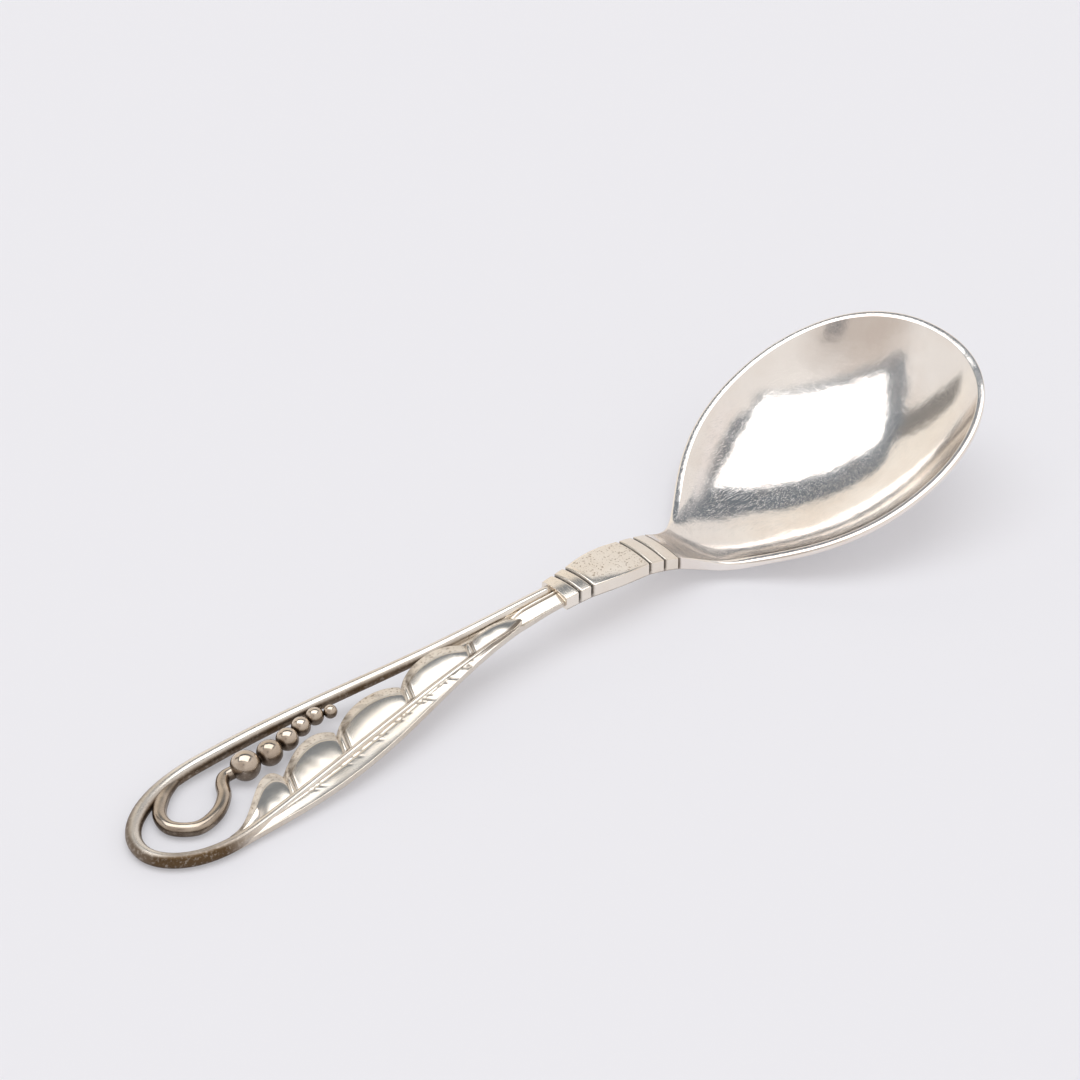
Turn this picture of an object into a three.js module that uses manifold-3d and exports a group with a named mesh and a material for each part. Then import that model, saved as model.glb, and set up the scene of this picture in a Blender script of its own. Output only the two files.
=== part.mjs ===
// A silver serving spoon: a beaten bowl soldered to a filed collar, and an openwork handle of one
// bent wire, a curled tendril, a row of solid beads and a chased leaf. Nothing on it moves.
// Lengths are in millimetres. X runs from the handle's end to the bowl's tip, +Y is the side of the
// plain wire leg, and the spoon lies on the plane z = 0.
import * as THREE from 'three';
import { mergeVertices } from 'three/addons/utils/BufferGeometryUtils.js';
import Module from 'manifold-3d';

const wasm = await Module();
wasm.setup();

// Lengths along the spoon
const handleLength = 101.2;
const collarLength = 27.6;
const bowlLength = 75.7;

// Width of a solder seam between curved pieces
const solderGap = 0.2;

// Wire diameters in order along the bent wire, from the collar round the loop to the leaf's rib
const legDiameter = 2.2;
const sideDiameter = 3.2;
const loopDiameter = 2.9;
const turnDiameter = 2.8;
const ribDiameter = 1;

// Centre line of the bent wire, seen from above. An ease is the length of a curve's handle.
const legOffset = 1.6;
const legEase = 33;
const loopHalfWidth = 11.2;
const loopShoulder = 24;
const loopLegEase = 33;
const loopShoulderEase = 13;
const loopEndEase = 7.2;
const loopEndSkew = -2;
const turnEndEase = 4.5;
const turnEase = 9;
const turnStation = 15.5;
const turnOffset = -11;
const ribTurnEase = 8.5;
const ribEase = 38;
const ribOffset = -3.4;
const ribSlack = 3;
const ribSwing = 1.2;

// Side profile of the handle: level at the loop, then rising to the collar
const handleRise = 8.15;
const riseLoopEase = 58;
const riseCollarEase = 29;

// Tendril: a wire that leaves the loop, curls back and ends against the plain leg.
// Its points are steps from its root on the loop.
const tendrilDiameter = 2.7;
const tendrilTipDiameter = 2.1;
const tendrilRoot = 0.09;
const tendrilPoints = [
  [-7.2, -3.3], [-10.9, -7.4], [-11.2, -11], [-7.6, -14.2], [-2.6, -13.4], [1.4, -10.4],
];
const tendrilTip = [[3.7, -7.6], [5.9, -5.5], [8.3, -4.1]];

// Beads, largest first, strung by the heading in degrees from each to the next
const beadDiameters = [5.5, 5, 4.45, 3.75, 3.45, 2.8];
const beadHeadings = [1, 8, 13, 6, -21];
const firstBead = [9.5, -7.4];
const beadLift = 0.6;

// Chased leaf: domed lobes along one side of the rib and a smooth blade along the other.
// A lobe has a share of the leaf's length, a crest height, a foot at each end as a part of that
// height, and the place of its peak. It leans towards the bowl as it rises. Its face climbs from the
// rib to a level border.
const leafStart = 15;
const stemLength = 10.2;
const leafThickness = 1.8;
const lobeLean = 0.4;
const lobeRise = 1.1;
const lobeBorder = 1.8;
const lobeBorderLimit = 0.45;
const lobeEndEase = 0.6;
const lobeArch = 2.2;
const lobeFold = 0.45;
const lobeFoldReach = 0.07;
const lobeCrests = [6.7, 8, 7.4, 6.5, 4];
const lobes = [
  { share: 17.2, footStart: 0.05, footEnd: 0.78, peak: 0.68 },
  { share: 13.2, footStart: 0.68, footEnd: 0.66, peak: 0.42 },
  { share: 15.8, footStart: 0.55, footEnd: 0.58, peak: 0.44 },
  { share: 15.9, footStart: 0.52, footEnd: 0.5, peak: 0.41 },
  { share: 13.9, footStart: 0.75, footEnd: 0.05, peak: 0.36 },
];
const bladeStart = 20.5;
const bladeTipWidth = 0.35;
const bladeWidest = 30;
const bladeOffset = -12.1;
const bladeEase = 28;
const bladeStemEase = 31;
const bladeStemFlare = 0.5;
const bladeFloor = 0.2;
const bladeRidge = 0.5;
const bladeRidgePlace = 0.22;
const bladeRidgeSpread = 0.15;
const bladeRim = 0.5;
const bladeRimStart = 0.6;
const stemInner = 0;
const stemOuter = -2.9;
const stemHeight = 2;
const stemBlend = 2.5;

// Collar: a block with filed grooves round its top and sides, widest across its plain panel
const collarHeight = 2.6;
const collarCrown = 0.5;
const collarEdgeFall = 0.25;
const collarTop = 10.5;
const collarArch = 0.75;
const collarArchEase = 10.8;
const collarFallEase = 8.5;
const collarFallSlope = 0.36;
const collarEndWidth = 7.3;
const panelHandleWidth = 8.15;
const panelBowlWidth = 9.7;
const panelBulge = 1.25;
const shankWidth = 10.25;
const grooveWidth = 0.5;
const grooveDepth = 0.4;
const handleGrooves = [3.1, 6.05];
const bowlGrooves = [7.2, 3.45];

// Bowl: the shank, the rim's outline from above and the rim's and keel's lines from the side
const bowlWidth = 54.9;
const widestFromTip = 29.1;
const shankEase = 14;
const bowlSideEase = 27;
const bowlTipEase = 13.8;
const bowlTipHalfEase = 19.5;
const rimSlope = 0.358;
const neckSlope = 0.53;
const neckCrossing = 9.9;
const rimCrossing = 2.2;
const rimBlend = 1.6;
const shankLand = 0.3;
const rimLand = 1.3;
const rimLandReach = 14;
const rimEdge = 1;
const rimEdgeReach = 17;
const bowlWall = 1.2;
const keelNeckEase = 5.3;
const keelNeckFall = 4.2;
const backNeckEase = 10;
const keelRest = 27;
const keelRestEase = 16;
const keelTipEase = 12;
const keelTipFall = 17;
const dishFlatness = 0.7;
const wornDepth = 0.12;

// Stations that follow from the sizes
const collarStart = handleLength;
const seam = collarStart + collarLength;
const tip = seam + bowlLength;
const leafEnd = collarStart - stemLength;
const ribEnd = leafEnd - ribSlack;
const loopEnd = loopDiameter / 2;

const lerp = THREE.MathUtils.lerp;
const smooth = THREE.MathUtils.smoothstep;

// A plane cubic curve from start to end, steered by two handles.
function bezier(start, startHandle, endHandle, end) {
  const points = [start, startHandle, endHandle, end].map(([x, y]) => new THREE.Vector2(x, y));
  return new THREE.CubicBezierCurve(...points);
}

// Parameter at which a curve that advances steadily along X reaches the station x.
function parameterAt(curve, x) {
  const forward = curve.v3.x > curve.v0.x;
  let low = 0;
  let high = 1;
  for (let step = 0; step < 36; step += 1) {
    const middle = (low + high) / 2;
    if ((curve.getPoint(middle).x < x) === forward) low = middle;
    else high = middle;
  }
  return (low + high) / 2;
}

// Second coordinate of a curve, or of a run of curves, over the station x.
function heightAt(curves, x) {
  const curve = curves.find((c) => x <= c.v3.x) ?? curves.at(-1);
  return curve.getPoint(parameterAt(curve, x)).y;
}

const evenSteps = (count) => Array.from({ length: count + 1 }, (_, i) => i / count);

// Merges shared corners, drops collapsed and doubled triangles and turns the faces outwards.
function outward(geometry) {
  const merged = mergeVertices(geometry, 1e-5);
  const source = Array.from(merged.index.array);
  const triangles = [];
  for (let i = 0; i < source.length; i += 3) {
    const [a, b, c] = source.slice(i, i + 3);
    if (a !== b && b !== c && c !== a) triangles.push([a, b, c]);
  }
  const cornerSet = (triangle) => [...triangle].sort((p, q) => p - q).join();
  const uses = new Map();
  for (const triangle of triangles) {
    const key = cornerSet(triangle);
    uses.set(key, (uses.get(key) ?? 0) + 1);
  }
  const faces = triangles.filter((triangle) => uses.get(cornerSet(triangle)) === 1);
  const corner = (i) => new THREE.Vector3().fromBufferAttribute(merged.attributes.position, i);
  let volume = 0;
  for (const [a, b, c] of faces) volume += corner(a).dot(corner(b).cross(corner(c)));
  const turned = volume < 0 ? faces.map(([a, b, c]) => [a, c, b]) : faces;
  merged.setIndex(turned.flat());
  return merged;
}

// Closed solid through rings of equal count. A ring runs along its upper side and back along its
// lower side, so each end closes with a strip across the ring.
function loft(rings) {
  const count = rings[0].length;
  const last = (rings.length - 1) * count;
  const index = [];
  for (let r = 0; r < last; r += count) {
    for (let i = 0; i < count; i += 1) {
      const a = r + i;
      const b = r + ((i + 1) % count);
      index.push(a, b, b + count, a, b + count, a + count);
    }
  }
  for (let i = 0; i + 1 < count / 2; i += 1) {
    const j = count - 1 - i;
    index.push(i, j, j - 1, i, j - 1, i + 1);
    index.push(last + i, last + j - 1, last + j, last + i, last + i + 1, last + j - 1);
  }
  const geometry = new THREE.BufferGeometry();
  const positions = rings.flat().flatMap((p) => p.toArray());
  geometry.setAttribute('position', new THREE.Float32BufferAttribute(positions, 3));
  geometry.setIndex(index);
  return outward(geometry);
}

// Round bar through stations that each have a centre, a level heading and a radius.
function roundBar(stations) {
  const sides = 12;
  const rings = stations.map(({ centre, heading, radius }) => {
    const across = new THREE.Vector3(-heading.y, heading.x, 0).multiplyScalar(radius);
    const up = new THREE.Vector3(0, 0, radius);
    return Array.from({ length: sides }, (_, i) => {
      const angle = (2 * Math.PI * (i + 0.5)) / sides;
      const rim = centre.clone().addScaledVector(across, Math.cos(angle));
      return rim.addScaledVector(up, Math.sin(angle));
    });
  });
  return loft(rings);
}

// Solid whose plan is swept by u and v and whose face carries a relief over a level back.
function reliefSolid(uSteps, vSteps, planAt, faceAt, backAt) {
  const rings = uSteps.map((u) => {
    const plan = vSteps.map((v) => planAt(u, v));
    const face = plan.map(({ x, y }, i) => new THREE.Vector3(x, y, faceAt(u, vSteps[i], x)));
    const back = plan.map(({ x, y }) => new THREE.Vector3(x, y, backAt(x)));
    return [...face, ...back.reverse()];
  });
  return loft(rings);
}

function toSolid(geometry) {
  return new wasm.Manifold(new wasm.Mesh({
    numProp: 3,
    vertProperties: new Float32Array(geometry.attributes.position.array),
    triVerts: new Uint32Array(geometry.index.array),
  }));
}

function toGeometry(solid) {
  const mesh = solid.getMesh();
  const geometry = new THREE.BufferGeometry();
  geometry.setAttribute('position', new THREE.Float32BufferAttribute(mesh.vertProperties, 3));
  geometry.setIndex(Array.from(mesh.triVerts));
  return geometry;
}

// A three.js primitive without the attributes that split its shared corners.
function bare(geometry) {
  geometry.deleteAttribute('normal');
  geometry.deleteAttribute('uv');
  return outward(geometry);
}

// Height of the handle's middle over the table

const handleProfile = bezier(
  [loopEnd, loopEnd],
  [loopEnd + riseLoopEase, loopEnd],
  [collarStart - riseCollarEase, loopEnd + handleRise],
  [collarStart, loopEnd + handleRise],
);

function handleHeight(x) {
  return heightAt([handleProfile], x);
}

// Bent wire: plain leg, shoulder and turn of the end loop, then on as the tapering rib of the leaf

const leg = {
  curve: bezier(
    [collarStart, legOffset],
    [collarStart - legEase, legOffset],
    [loopShoulder + loopLegEase, loopHalfWidth],
    [loopShoulder, loopHalfWidth],
  ),
  diameters: [legDiameter, sideDiameter],
  steps: 16,
};
const shoulder = {
  curve: bezier(
    [loopShoulder, loopHalfWidth],
    [loopShoulder - loopShoulderEase, loopHalfWidth],
    [loopEnd, loopEndSkew + loopEndEase],
    [loopEnd, loopEndSkew],
  ),
  diameters: [sideDiameter, loopDiameter],
  steps: 12,
};
const turn = {
  curve: bezier(
    [loopEnd, loopEndSkew],
    [loopEnd, loopEndSkew - turnEndEase],
    [turnStation - turnEase, turnOffset],
    [turnStation, turnOffset],
  ),
  diameters: [loopDiameter, turnDiameter],
  steps: 10,
};
const rib = {
  curve: bezier(
    [turnStation, turnOffset],
    [turnStation + ribTurnEase, turnOffset],
    [ribEnd - ribEase, ribOffset],
    [ribEnd, ribOffset],
  ),
  diameters: [turnDiameter, ribDiameter],
  steps: 18,
};

// Wire grown by a margin, which also serves as the cutter for what is soldered to it.
function bentWire(margin) {
  const stations = [leg, shoulder, turn, rib].flatMap(({ curve, diameters, steps }, order) => (
    evenSteps(steps).slice(order === 0 ? 0 : 1).map((t) => {
      const plan = curve.getPoint(t);
      return {
        centre: new THREE.Vector3(plan.x, plan.y, handleHeight(plan.x)),
        heading: curve.getTangent(t),
        radius: lerp(...diameters, t) / 2 + margin,
      };
    })
  ));
  return roundBar(stations);
}

// The wire's edge over the station x, on the side given by +1 or -1.
function wireEdge({ curve, diameters }, x, side) {
  const t = parameterAt(curve, x);
  return curve.getPoint(t).y + (side * lerp(...diameters, t)) / 2;
}

// Tendril, scarfed against the wire at both ends and hollowed where the first bead sits

const root = shoulder.curve.getPoint(tendrilRoot);

function tendril() {
  const steps = [[0, 0], ...tendrilPoints, ...tendrilTip];
  const path = new THREE.CatmullRomCurve3(
    steps.map(([x, y]) => new THREE.Vector3(root.x + x, root.y + y, 0)),
    false,
    'centripetal',
  );
  const tipStart = tendrilPoints.length / (steps.length - 1);
  const stations = evenSteps(28).map((t) => {
    const plan = path.getPoint(t);
    return {
      centre: plan.setZ(handleHeight(plan.x)),
      heading: path.getTangent(t),
      radius: lerp(tendrilDiameter, tendrilTipDiameter, smooth(t, tipStart, 1)) / 2,
    };
  });
  const [first] = beadCentres();
  const beadSeat = bead(beadDiameters[0] + 2 * solderGap).translate(first.x, first.y, first.z);
  const wireSeat = toSolid(bentWire(solderGap));
  return toGeometry(toSolid(roundBar(stations)).subtract(wireSeat).subtract(toSolid(beadSeat)));
}

// Beads

function beadCentres() {
  const plan = [new THREE.Vector2(root.x + firstBead[0], root.y + firstBead[1])];
  beadHeadings.forEach((heading, i) => {
    const reach = (beadDiameters[i] + beadDiameters[i + 1]) / 2;
    const angle = THREE.MathUtils.degToRad(heading);
    plan.push(new THREE.Vector2(reach, 0).rotateAround(new THREE.Vector2(), angle).add(plan[i]));
  });
  return plan.map(({ x, y }) => new THREE.Vector3(x, y, handleHeight(x) + beadLift));
}

function bead(diameter) {
  return bare(new THREE.SphereGeometry(diameter / 2, 16, 10));
}

// Leaf

const stemAt = (x) => smooth(x, ribEnd, leafEnd + stemBlend);

// Side of the blade that lies against the rib, swings past the rib's end and runs on beside the last lobe.
function bladeInner(x) {
  const past = smooth(x, ribEnd + solderGap, ribEnd + ribSwing);
  return lerp(wireEdge(rib, x, -1) - solderGap, lobeBase(x) - 2 * solderGap, past);
}

const bladeEdge = [
  bezier(
    [bladeStart, bladeInner(bladeStart) - bladeTipWidth],
    [lerp(bladeStart, bladeWidest, 0.3), bladeInner(bladeStart) - bladeTipWidth],
    [lerp(bladeStart, bladeWidest, 0.6), bladeOffset],
    [bladeWidest, bladeOffset],
  ),
  bezier(
    [bladeWidest, bladeOffset],
    [bladeWidest + bladeEase, bladeOffset],
    [collarStart - bladeStemEase, stemOuter - bladeStemFlare],
    [collarStart, stemOuter],
  ),
];

function leafBlade() {
  const planAt = (u, v) => {
    const x = lerp(bladeStart, collarStart, u);
    return { x, y: lerp(bladeInner(x), heightAt(bladeEdge, x), v) };
  };
  const faceAt = (u, v, x) => {
    const ridge = bladeRidge * Math.exp(-(((v - bladeRidgePlace) / bladeRidgeSpread) ** 2));
    const relief = bladeFloor + ridge + bladeRim * smooth(v, bladeRimStart, 1);
    return handleHeight(x) + lerp(relief, stemHeight / 2, stemAt(x));
  };
  const backAt = (x) => handleHeight(x) - lerp(leafThickness, stemHeight, stemAt(x)) / 2;
  const shareAt = (x) => (x - bladeStart) / (collarStart - bladeStart);
  const besideRib = evenSteps(28).map((t) => t * shareAt(ribEnd + solderGap));
  const besideLobe = evenSteps(7).map((t) => lerp(shareAt(ribEnd + ribSwing), 1, t));
  const vSteps = [0, 0.12, 0.25, 0.45, 0.7, 0.85, 1];
  return reliefSolid([...besideRib, ...besideLobe], vSteps, planAt, faceAt, backAt);
}

// Line that the lobes stand on: the rib, then the stem.
function lobeBase(x) {
  const stem = smooth(x, ribEnd - ribSlack, leafEnd + stemBlend / 2);
  return lerp(wireEdge(rib, x, 1), stemInner, stem) + solderGap;
}

function lobe(order) {
  const { footStart, footEnd, peak } = lobes[order];
  const shares = lobes.map(({ share }) => share);
  const total = shares.reduce((sum, share) => sum + share, 0);
  const before = shares.slice(0, order).reduce((sum, share) => sum + share, 0);
  const start = lerp(leafStart, leafEnd, before / total);
  const end = lerp(leafStart, leafEnd, (before + shares[order]) / total) - solderGap;
  const skew = Math.log(0.5) / Math.log(peak);

  const rise = (u) => {
    const foot = lerp(footStart, footEnd, u * u);
    const arch = 1 - Math.abs(2 * u ** skew - 1) ** lobeArch;
    return lobeCrests[order] * lerp(foot, 1, arch);
  };
  const height = (u) => {
    const foot = lerp(start, end, u);
    const room = wireEdge(leg, foot + lobeLean * rise(u), -1) - solderGap - lobeBase(foot);
    return Math.min(rise(u), room);
  };
  const planAt = (u, v) => {
    const foot = lerp(start, end, u);
    return { x: foot + lobeLean * height(u) * v, y: lobeBase(foot) + height(u) * v };
  };
  const faceAt = (u, v, x) => {
    const inner = 1 - Math.min(lobeBorder / height(u), lobeBorderLimit);
    const climb = 1 - (1 - Math.min(v / inner, 1)) ** 2;
    const pillow = lobeRise * climb * Math.sin(Math.PI * u) ** lobeEndEase;
    const fold = order === 0 ? 0 : lobeFold * Math.exp(-((u / lobeFoldReach) ** 2)) * Math.sin(Math.PI * v);
    return handleHeight(x) + pillow + fold;
  };
  const backAt = (x) => handleHeight(x) - leafThickness / 2;
  const uSteps = [0, 0.05, 0.1, 0.18, 0.28, 0.39, 0.5, 0.61, 0.72, 0.82, 0.91, 1];
  const vSteps = [0, 0.13, 0.27, 0.41, 0.55, 0.67, 0.77, 0.86, 1];
  return reliefSolid(uSteps, vSteps, planAt, faceAt, backAt);
}

// Rim line of the bowl, falling along the neck and rising to the tip

function rimHeight(x) {
  const neck = rimCrossing - neckSlope * (x - seam - neckCrossing);
  const rim = rimCrossing + rimSlope * (x - seam - neckCrossing);
  return (neck + rim) / 2 + Math.hypot((neck - rim) / 2, rimBlend);
}

// Collar

const collarEdgeLine = bezier(
  [collarStart, collarTop],
  [collarStart + collarArchEase, collarTop + collarArch],
  [seam - collarFallEase, rimHeight(seam) + collarFallSlope * collarFallEase],
  [seam, rimHeight(seam)],
);
const panelStart = collarStart + handleGrooves[1];
const panelEnd = seam - bowlGrooves[0];

function collarHalfWidth(x) {
  if (x < panelStart) {
    return lerp(collarEndWidth, panelHandleWidth, (x - collarStart) / (panelStart - collarStart)) / 2;
  }
  if (x > panelEnd) return lerp(panelBowlWidth, shankWidth, (x - panelEnd) / (seam - panelEnd)) / 2;
  const t = (x - panelStart) / (panelEnd - panelStart);
  return (lerp(panelHandleWidth, panelBowlWidth, t) + panelBulge * Math.sin(Math.PI * t)) / 2;
}

// Section with a level back, upright sides, eased upper edges and a low crown.
function collarRing(x, inset) {
  const half = collarHalfWidth(x) - inset;
  const edge = heightAt([collarEdgeLine], x);
  const across = [-1, -0.95, -0.85, -0.5, 0, 0.5, 0.85, 0.95, 1];
  const upper = across.map((v) => {
    const fall = collarEdgeFall * Math.max(0, (Math.abs(v) - 0.85) / 0.15) ** 2;
    return new THREE.Vector3(x, half * v, edge + collarCrown * (1 - v * v) - fall - inset);
  });
  const lower = across.map((v) => new THREE.Vector3(x, half * v, edge - collarHeight));
  return [...upper, ...lower.reverse()];
}

function grooveRings(x) {
  return [
    collarRing(x - grooveWidth / 2, 0),
    collarRing(x - grooveWidth / 4, grooveDepth),
    collarRing(x + grooveWidth / 4, grooveDepth),
    collarRing(x + grooveWidth / 2, 0),
  ];
}

function neckCollar() {
  const panel = [0.2, 0.4, 0.6, 0.8].map((t) => collarRing(lerp(panelStart, panelEnd, t), 0));
  return loft([
    collarRing(collarStart, 0),
    ...handleGrooves.flatMap((distance) => grooveRings(collarStart + distance)),
    ...panel,
    ...bowlGrooves.flatMap((distance) => grooveRings(seam - distance)),
    collarRing(seam - grooveWidth / 2, 0),
    collarRing(seam - grooveWidth / 4, grooveDepth),
    collarRing(seam, grooveDepth),
  ]);
}

// Bowl

const widest = tip - widestFromTip;
const rimOutline = [
  bezier(
    [seam, shankWidth / 2],
    [seam + shankEase, shankWidth / 2],
    [widest - bowlSideEase, bowlWidth / 2],
    [widest, bowlWidth / 2],
  ),
  bezier(
    [widest, bowlWidth / 2],
    [widest + bowlTipEase, bowlWidth / 2],
    [tip, bowlTipHalfEase],
    [tip, 0],
  ),
];
const rest = seam + keelRest;

// Line of the deepest points from the seam to the tip, of the face or of the back.
function keel(seamHeight, neckEase, neckFall, restHeight, end, endHeight) {
  return [
    bezier(
      [seam, seamHeight],
      [seam + neckEase, seamHeight - neckFall],
      [rest - keelRestEase, restHeight],
      [rest, restHeight],
    ),
    bezier(
      [rest, restHeight],
      [rest + keelRestEase, restHeight],
      [end - keelTipEase, endHeight - keelTipFall],
      [end, endHeight],
    ),
  ];
}

const faceSeam = rimHeight(seam) + collarCrown;
const faceEnd = tip - rimLand;
const faceRest = bowlWall - wornDepth;
const faceKeel = keel(faceSeam, keelNeckEase, keelNeckFall, faceRest, faceEnd, rimHeight(faceEnd));
const backSeam = rimHeight(seam) - collarHeight;
const backFall = neckSlope * backNeckEase;
const backKeel = keel(backSeam, backNeckEase, backFall, -wornDepth, tip, rimHeight(tip) - rimEdge);

// Cross-section of the dish from its keel, 0, to its rim, 1.
function dish(t) {
  return dishFlatness * t ** 2 + (1 - dishFlatness) * t ** 4;
}

// Section of the bowl at a point of the rim's outline: the dished face inside the rim's flat land,
// then the rim's outer edge and the back.
function bowlRing(plan, heading, inset) {
  const spread = [-1, -0.9, -0.78, -0.62, -0.42, -0.2, 0, 0.2, 0.42, 0.62, 0.78, 0.9, 1];
  const land = lerp(shankLand, rimLand, smooth(plan.x, seam, seam + rimLandReach));
  const inner = plan.clone().addScaledVector(new THREE.Vector2(heading.y, -heading.x), land);
  const deep = heightAt(faceKeel, inner.x);
  const face = spread.map((v) => {
    const z = lerp(deep, rimHeight(inner.x), dish(Math.abs(v)));
    return new THREE.Vector3(inner.x, (inner.y - inset) * v, z - inset);
  });
  const half = plan.y - inset;
  const edge = lerp(collarHeight, rimEdge, smooth(plan.x, seam, seam + rimEdgeReach));
  const low = rimHeight(plan.x) - edge;
  const lowest = heightAt(backKeel, plan.x);
  const back = spread.map((v) => (
    new THREE.Vector3(plan.x, half * v, lerp(lowest, low, dish(Math.abs(v))))
  ));
  const rim = [-1, 1].map((side) => new THREE.Vector3(plan.x, half * side, rimHeight(plan.x) - inset));
  return [rim[0], ...face, rim[1], ...back.reverse()];
}

function bowl() {
  const rings = [bowlRing(rimOutline[0].getPoint(0), rimOutline[0].getTangent(0), grooveDepth)];
  const shankEdge = parameterAt(rimOutline[0], seam + grooveWidth / 2);
  const sideSteps = evenSteps(16).map((t) => lerp(shankEdge, 1, t));
  const tipSteps = evenSteps(12).slice(1);
  [sideSteps, tipSteps].forEach((steps, order) => {
    const outline = rimOutline[order];
    for (const t of steps) rings.push(bowlRing(outline.getPoint(t), outline.getTangent(t), 0));
  });
  const table = bare(new THREE.BoxGeometry(bowlLength, bowlWidth, bowlWall));
  table.translate(rest, 0, -bowlWall / 2);
  return toGeometry(toSolid(loft(rings)).subtract(toSolid(table)));
}

// Assembly, with the origin on the table under the middle of the spoon

const brightSilver = { color: 0xd9d3c9, roughness: 0.2, metalness: 1 };
const tarnishedSilver = { color: 0xb5a692, roughness: 0.28, metalness: 1 };

const spoon = new THREE.Group();
spoon.position.x = -tip / 2;

function addPiece(name, geometry, finish) {
  const piece = new THREE.Mesh(geometry, new THREE.MeshStandardMaterial(finish));
  piece.name = name;
  spoon.add(piece);
  return piece;
}

addPiece('bowl', bowl(), brightSilver);
addPiece('neck_collar', neckCollar(), brightSilver);
addPiece('loop_wire', bentWire(0), brightSilver);
addPiece('tendril', tendril(), tarnishedSilver);
beadCentres().forEach((centre, i) => {
  addPiece(`bead_${i + 1}`, bead(beadDiameters[i]), tarnishedSilver).position.copy(centre);
});
lobes.forEach((_, i) => addPiece(`leaf_lobe_${i + 1}`, lobe(i), brightSilver));
addPiece('leaf_blade', leafBlade(), brightSilver);

export default spoon;
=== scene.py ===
"""Looks of a silver serving spoon with an openwork leaf handle.

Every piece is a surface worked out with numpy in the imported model's frame. Sizes in the classes are in
millimetres along the spoon, measured from the handle's outermost end, and become metres when a mesh is
made. The spoon lies on the plane z = 0 with its bowl towards +X.
"""

import logging
from dataclasses import dataclass
from enum import Enum

import bmesh
import bpy
import numpy as np
from mathutils import Matrix


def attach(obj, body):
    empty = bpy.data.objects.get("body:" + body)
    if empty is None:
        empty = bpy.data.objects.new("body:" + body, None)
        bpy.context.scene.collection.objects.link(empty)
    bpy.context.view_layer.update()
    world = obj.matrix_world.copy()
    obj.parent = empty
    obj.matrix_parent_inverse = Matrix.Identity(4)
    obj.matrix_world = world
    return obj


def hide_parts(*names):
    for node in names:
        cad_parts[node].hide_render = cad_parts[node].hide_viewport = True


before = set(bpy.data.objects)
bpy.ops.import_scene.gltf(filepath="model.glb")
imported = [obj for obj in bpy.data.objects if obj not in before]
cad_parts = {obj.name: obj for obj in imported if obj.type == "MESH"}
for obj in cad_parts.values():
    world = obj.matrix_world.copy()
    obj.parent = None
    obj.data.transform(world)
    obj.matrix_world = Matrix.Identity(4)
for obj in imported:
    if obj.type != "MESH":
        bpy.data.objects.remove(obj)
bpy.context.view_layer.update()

Array = np.ndarray
Socket = bpy.types.NodeSocket
Colour = tuple[float, float, float]
Point = tuple[float, float]

MM = 0.001
LENGTH = 204.5
COLLAR_START = 101.2
SEAM = 128.8
LOOP_RADIUS = 1.45
HANDLE_RISE = 8.15
CURVE_SAMPLES = 801
RUN_SAMPLES = 401
UP = np.array([0.0, 0.0, 1.0])
MIRROR = np.array([1.0, -1.0, 1.0])
LOG = logging.getLogger("spoon")


class Mask(Enum):
    """Names of the point attributes that finishes read."""

    # Dark tone: real tarnish on the wire and balls, painted shade in grooves, creases, joins and undersides.
    TARNISH_AND_SHADE = "tarnish_and_shade"
    MATT = "matt"


class Sum(Enum):
    """Kinds of arithmetic that the shader nodes do."""

    ADD = "ADD"
    SUBTRACT = "SUBTRACT"
    MULTIPLY = "MULTIPLY"
    DIVIDE = "DIVIDE"
    MAXIMUM = "MAXIMUM"
    ABSOLUTE = "ABSOLUTE"
    GREATER = "GREATER_THAN"


class Span(Enum):
    """The bent wire's curves in order from the collar."""

    LEG = 0
    SHOULDER = 1
    TURN = 2
    RIB = 3
    TAIL = 4


# Small mathematics


def blend(start: Array, end: Array, share: Array) -> Array:
    """Return the value that lies the given share of the way from start to end."""
    return start + (end - start) * share


def ease(value: Array, low: float, high: float) -> Array:
    """Return the cubic step from 0 at low to 1 at high."""
    share = np.clip((np.asarray(value, float) - low) / (high - low), 0.0, 1.0)
    return share * share * (3.0 - 2.0 * share)


def bell(value: Array, centre: float, width: float) -> Array:
    """Return a Gaussian bell of height 1 at centre."""
    return np.exp(-(((value - centre) / width) ** 2))


def grid(*parts: Array) -> Array:
    """Return points whose coordinates are the given arrays, spread to one shape."""
    return np.stack(np.broadcast_arrays(*parts), axis=-1)


def waves(points: Array, length: float, seed: int) -> Array:
    """Return a smooth irregular value near -1 to 1 for each point.

    Formula: the mean of six sines whose directions and phases come from a seeded generator, each with a
    wavelength close to the given length.

    Args:
        points: Array whose last axis holds x, y and z in millimetres.
        length: Typical wavelength in millimetres.
        seed: Seed of the generator.

    Returns:
        An array with one value per point.
    """
    draw = np.random.default_rng(seed)
    ways = draw.normal(size=(6, 3))
    ways /= np.linalg.norm(ways, axis=1, keepdims=True)
    ways *= 2.0 * np.pi / (length * draw.uniform(0.7, 1.5, size=(6, 1)))
    phases = draw.uniform(0.0, 2.0 * np.pi, size=6)
    return np.sin(points @ ways.T + phases).sum(axis=-1) / 3.0


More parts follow.
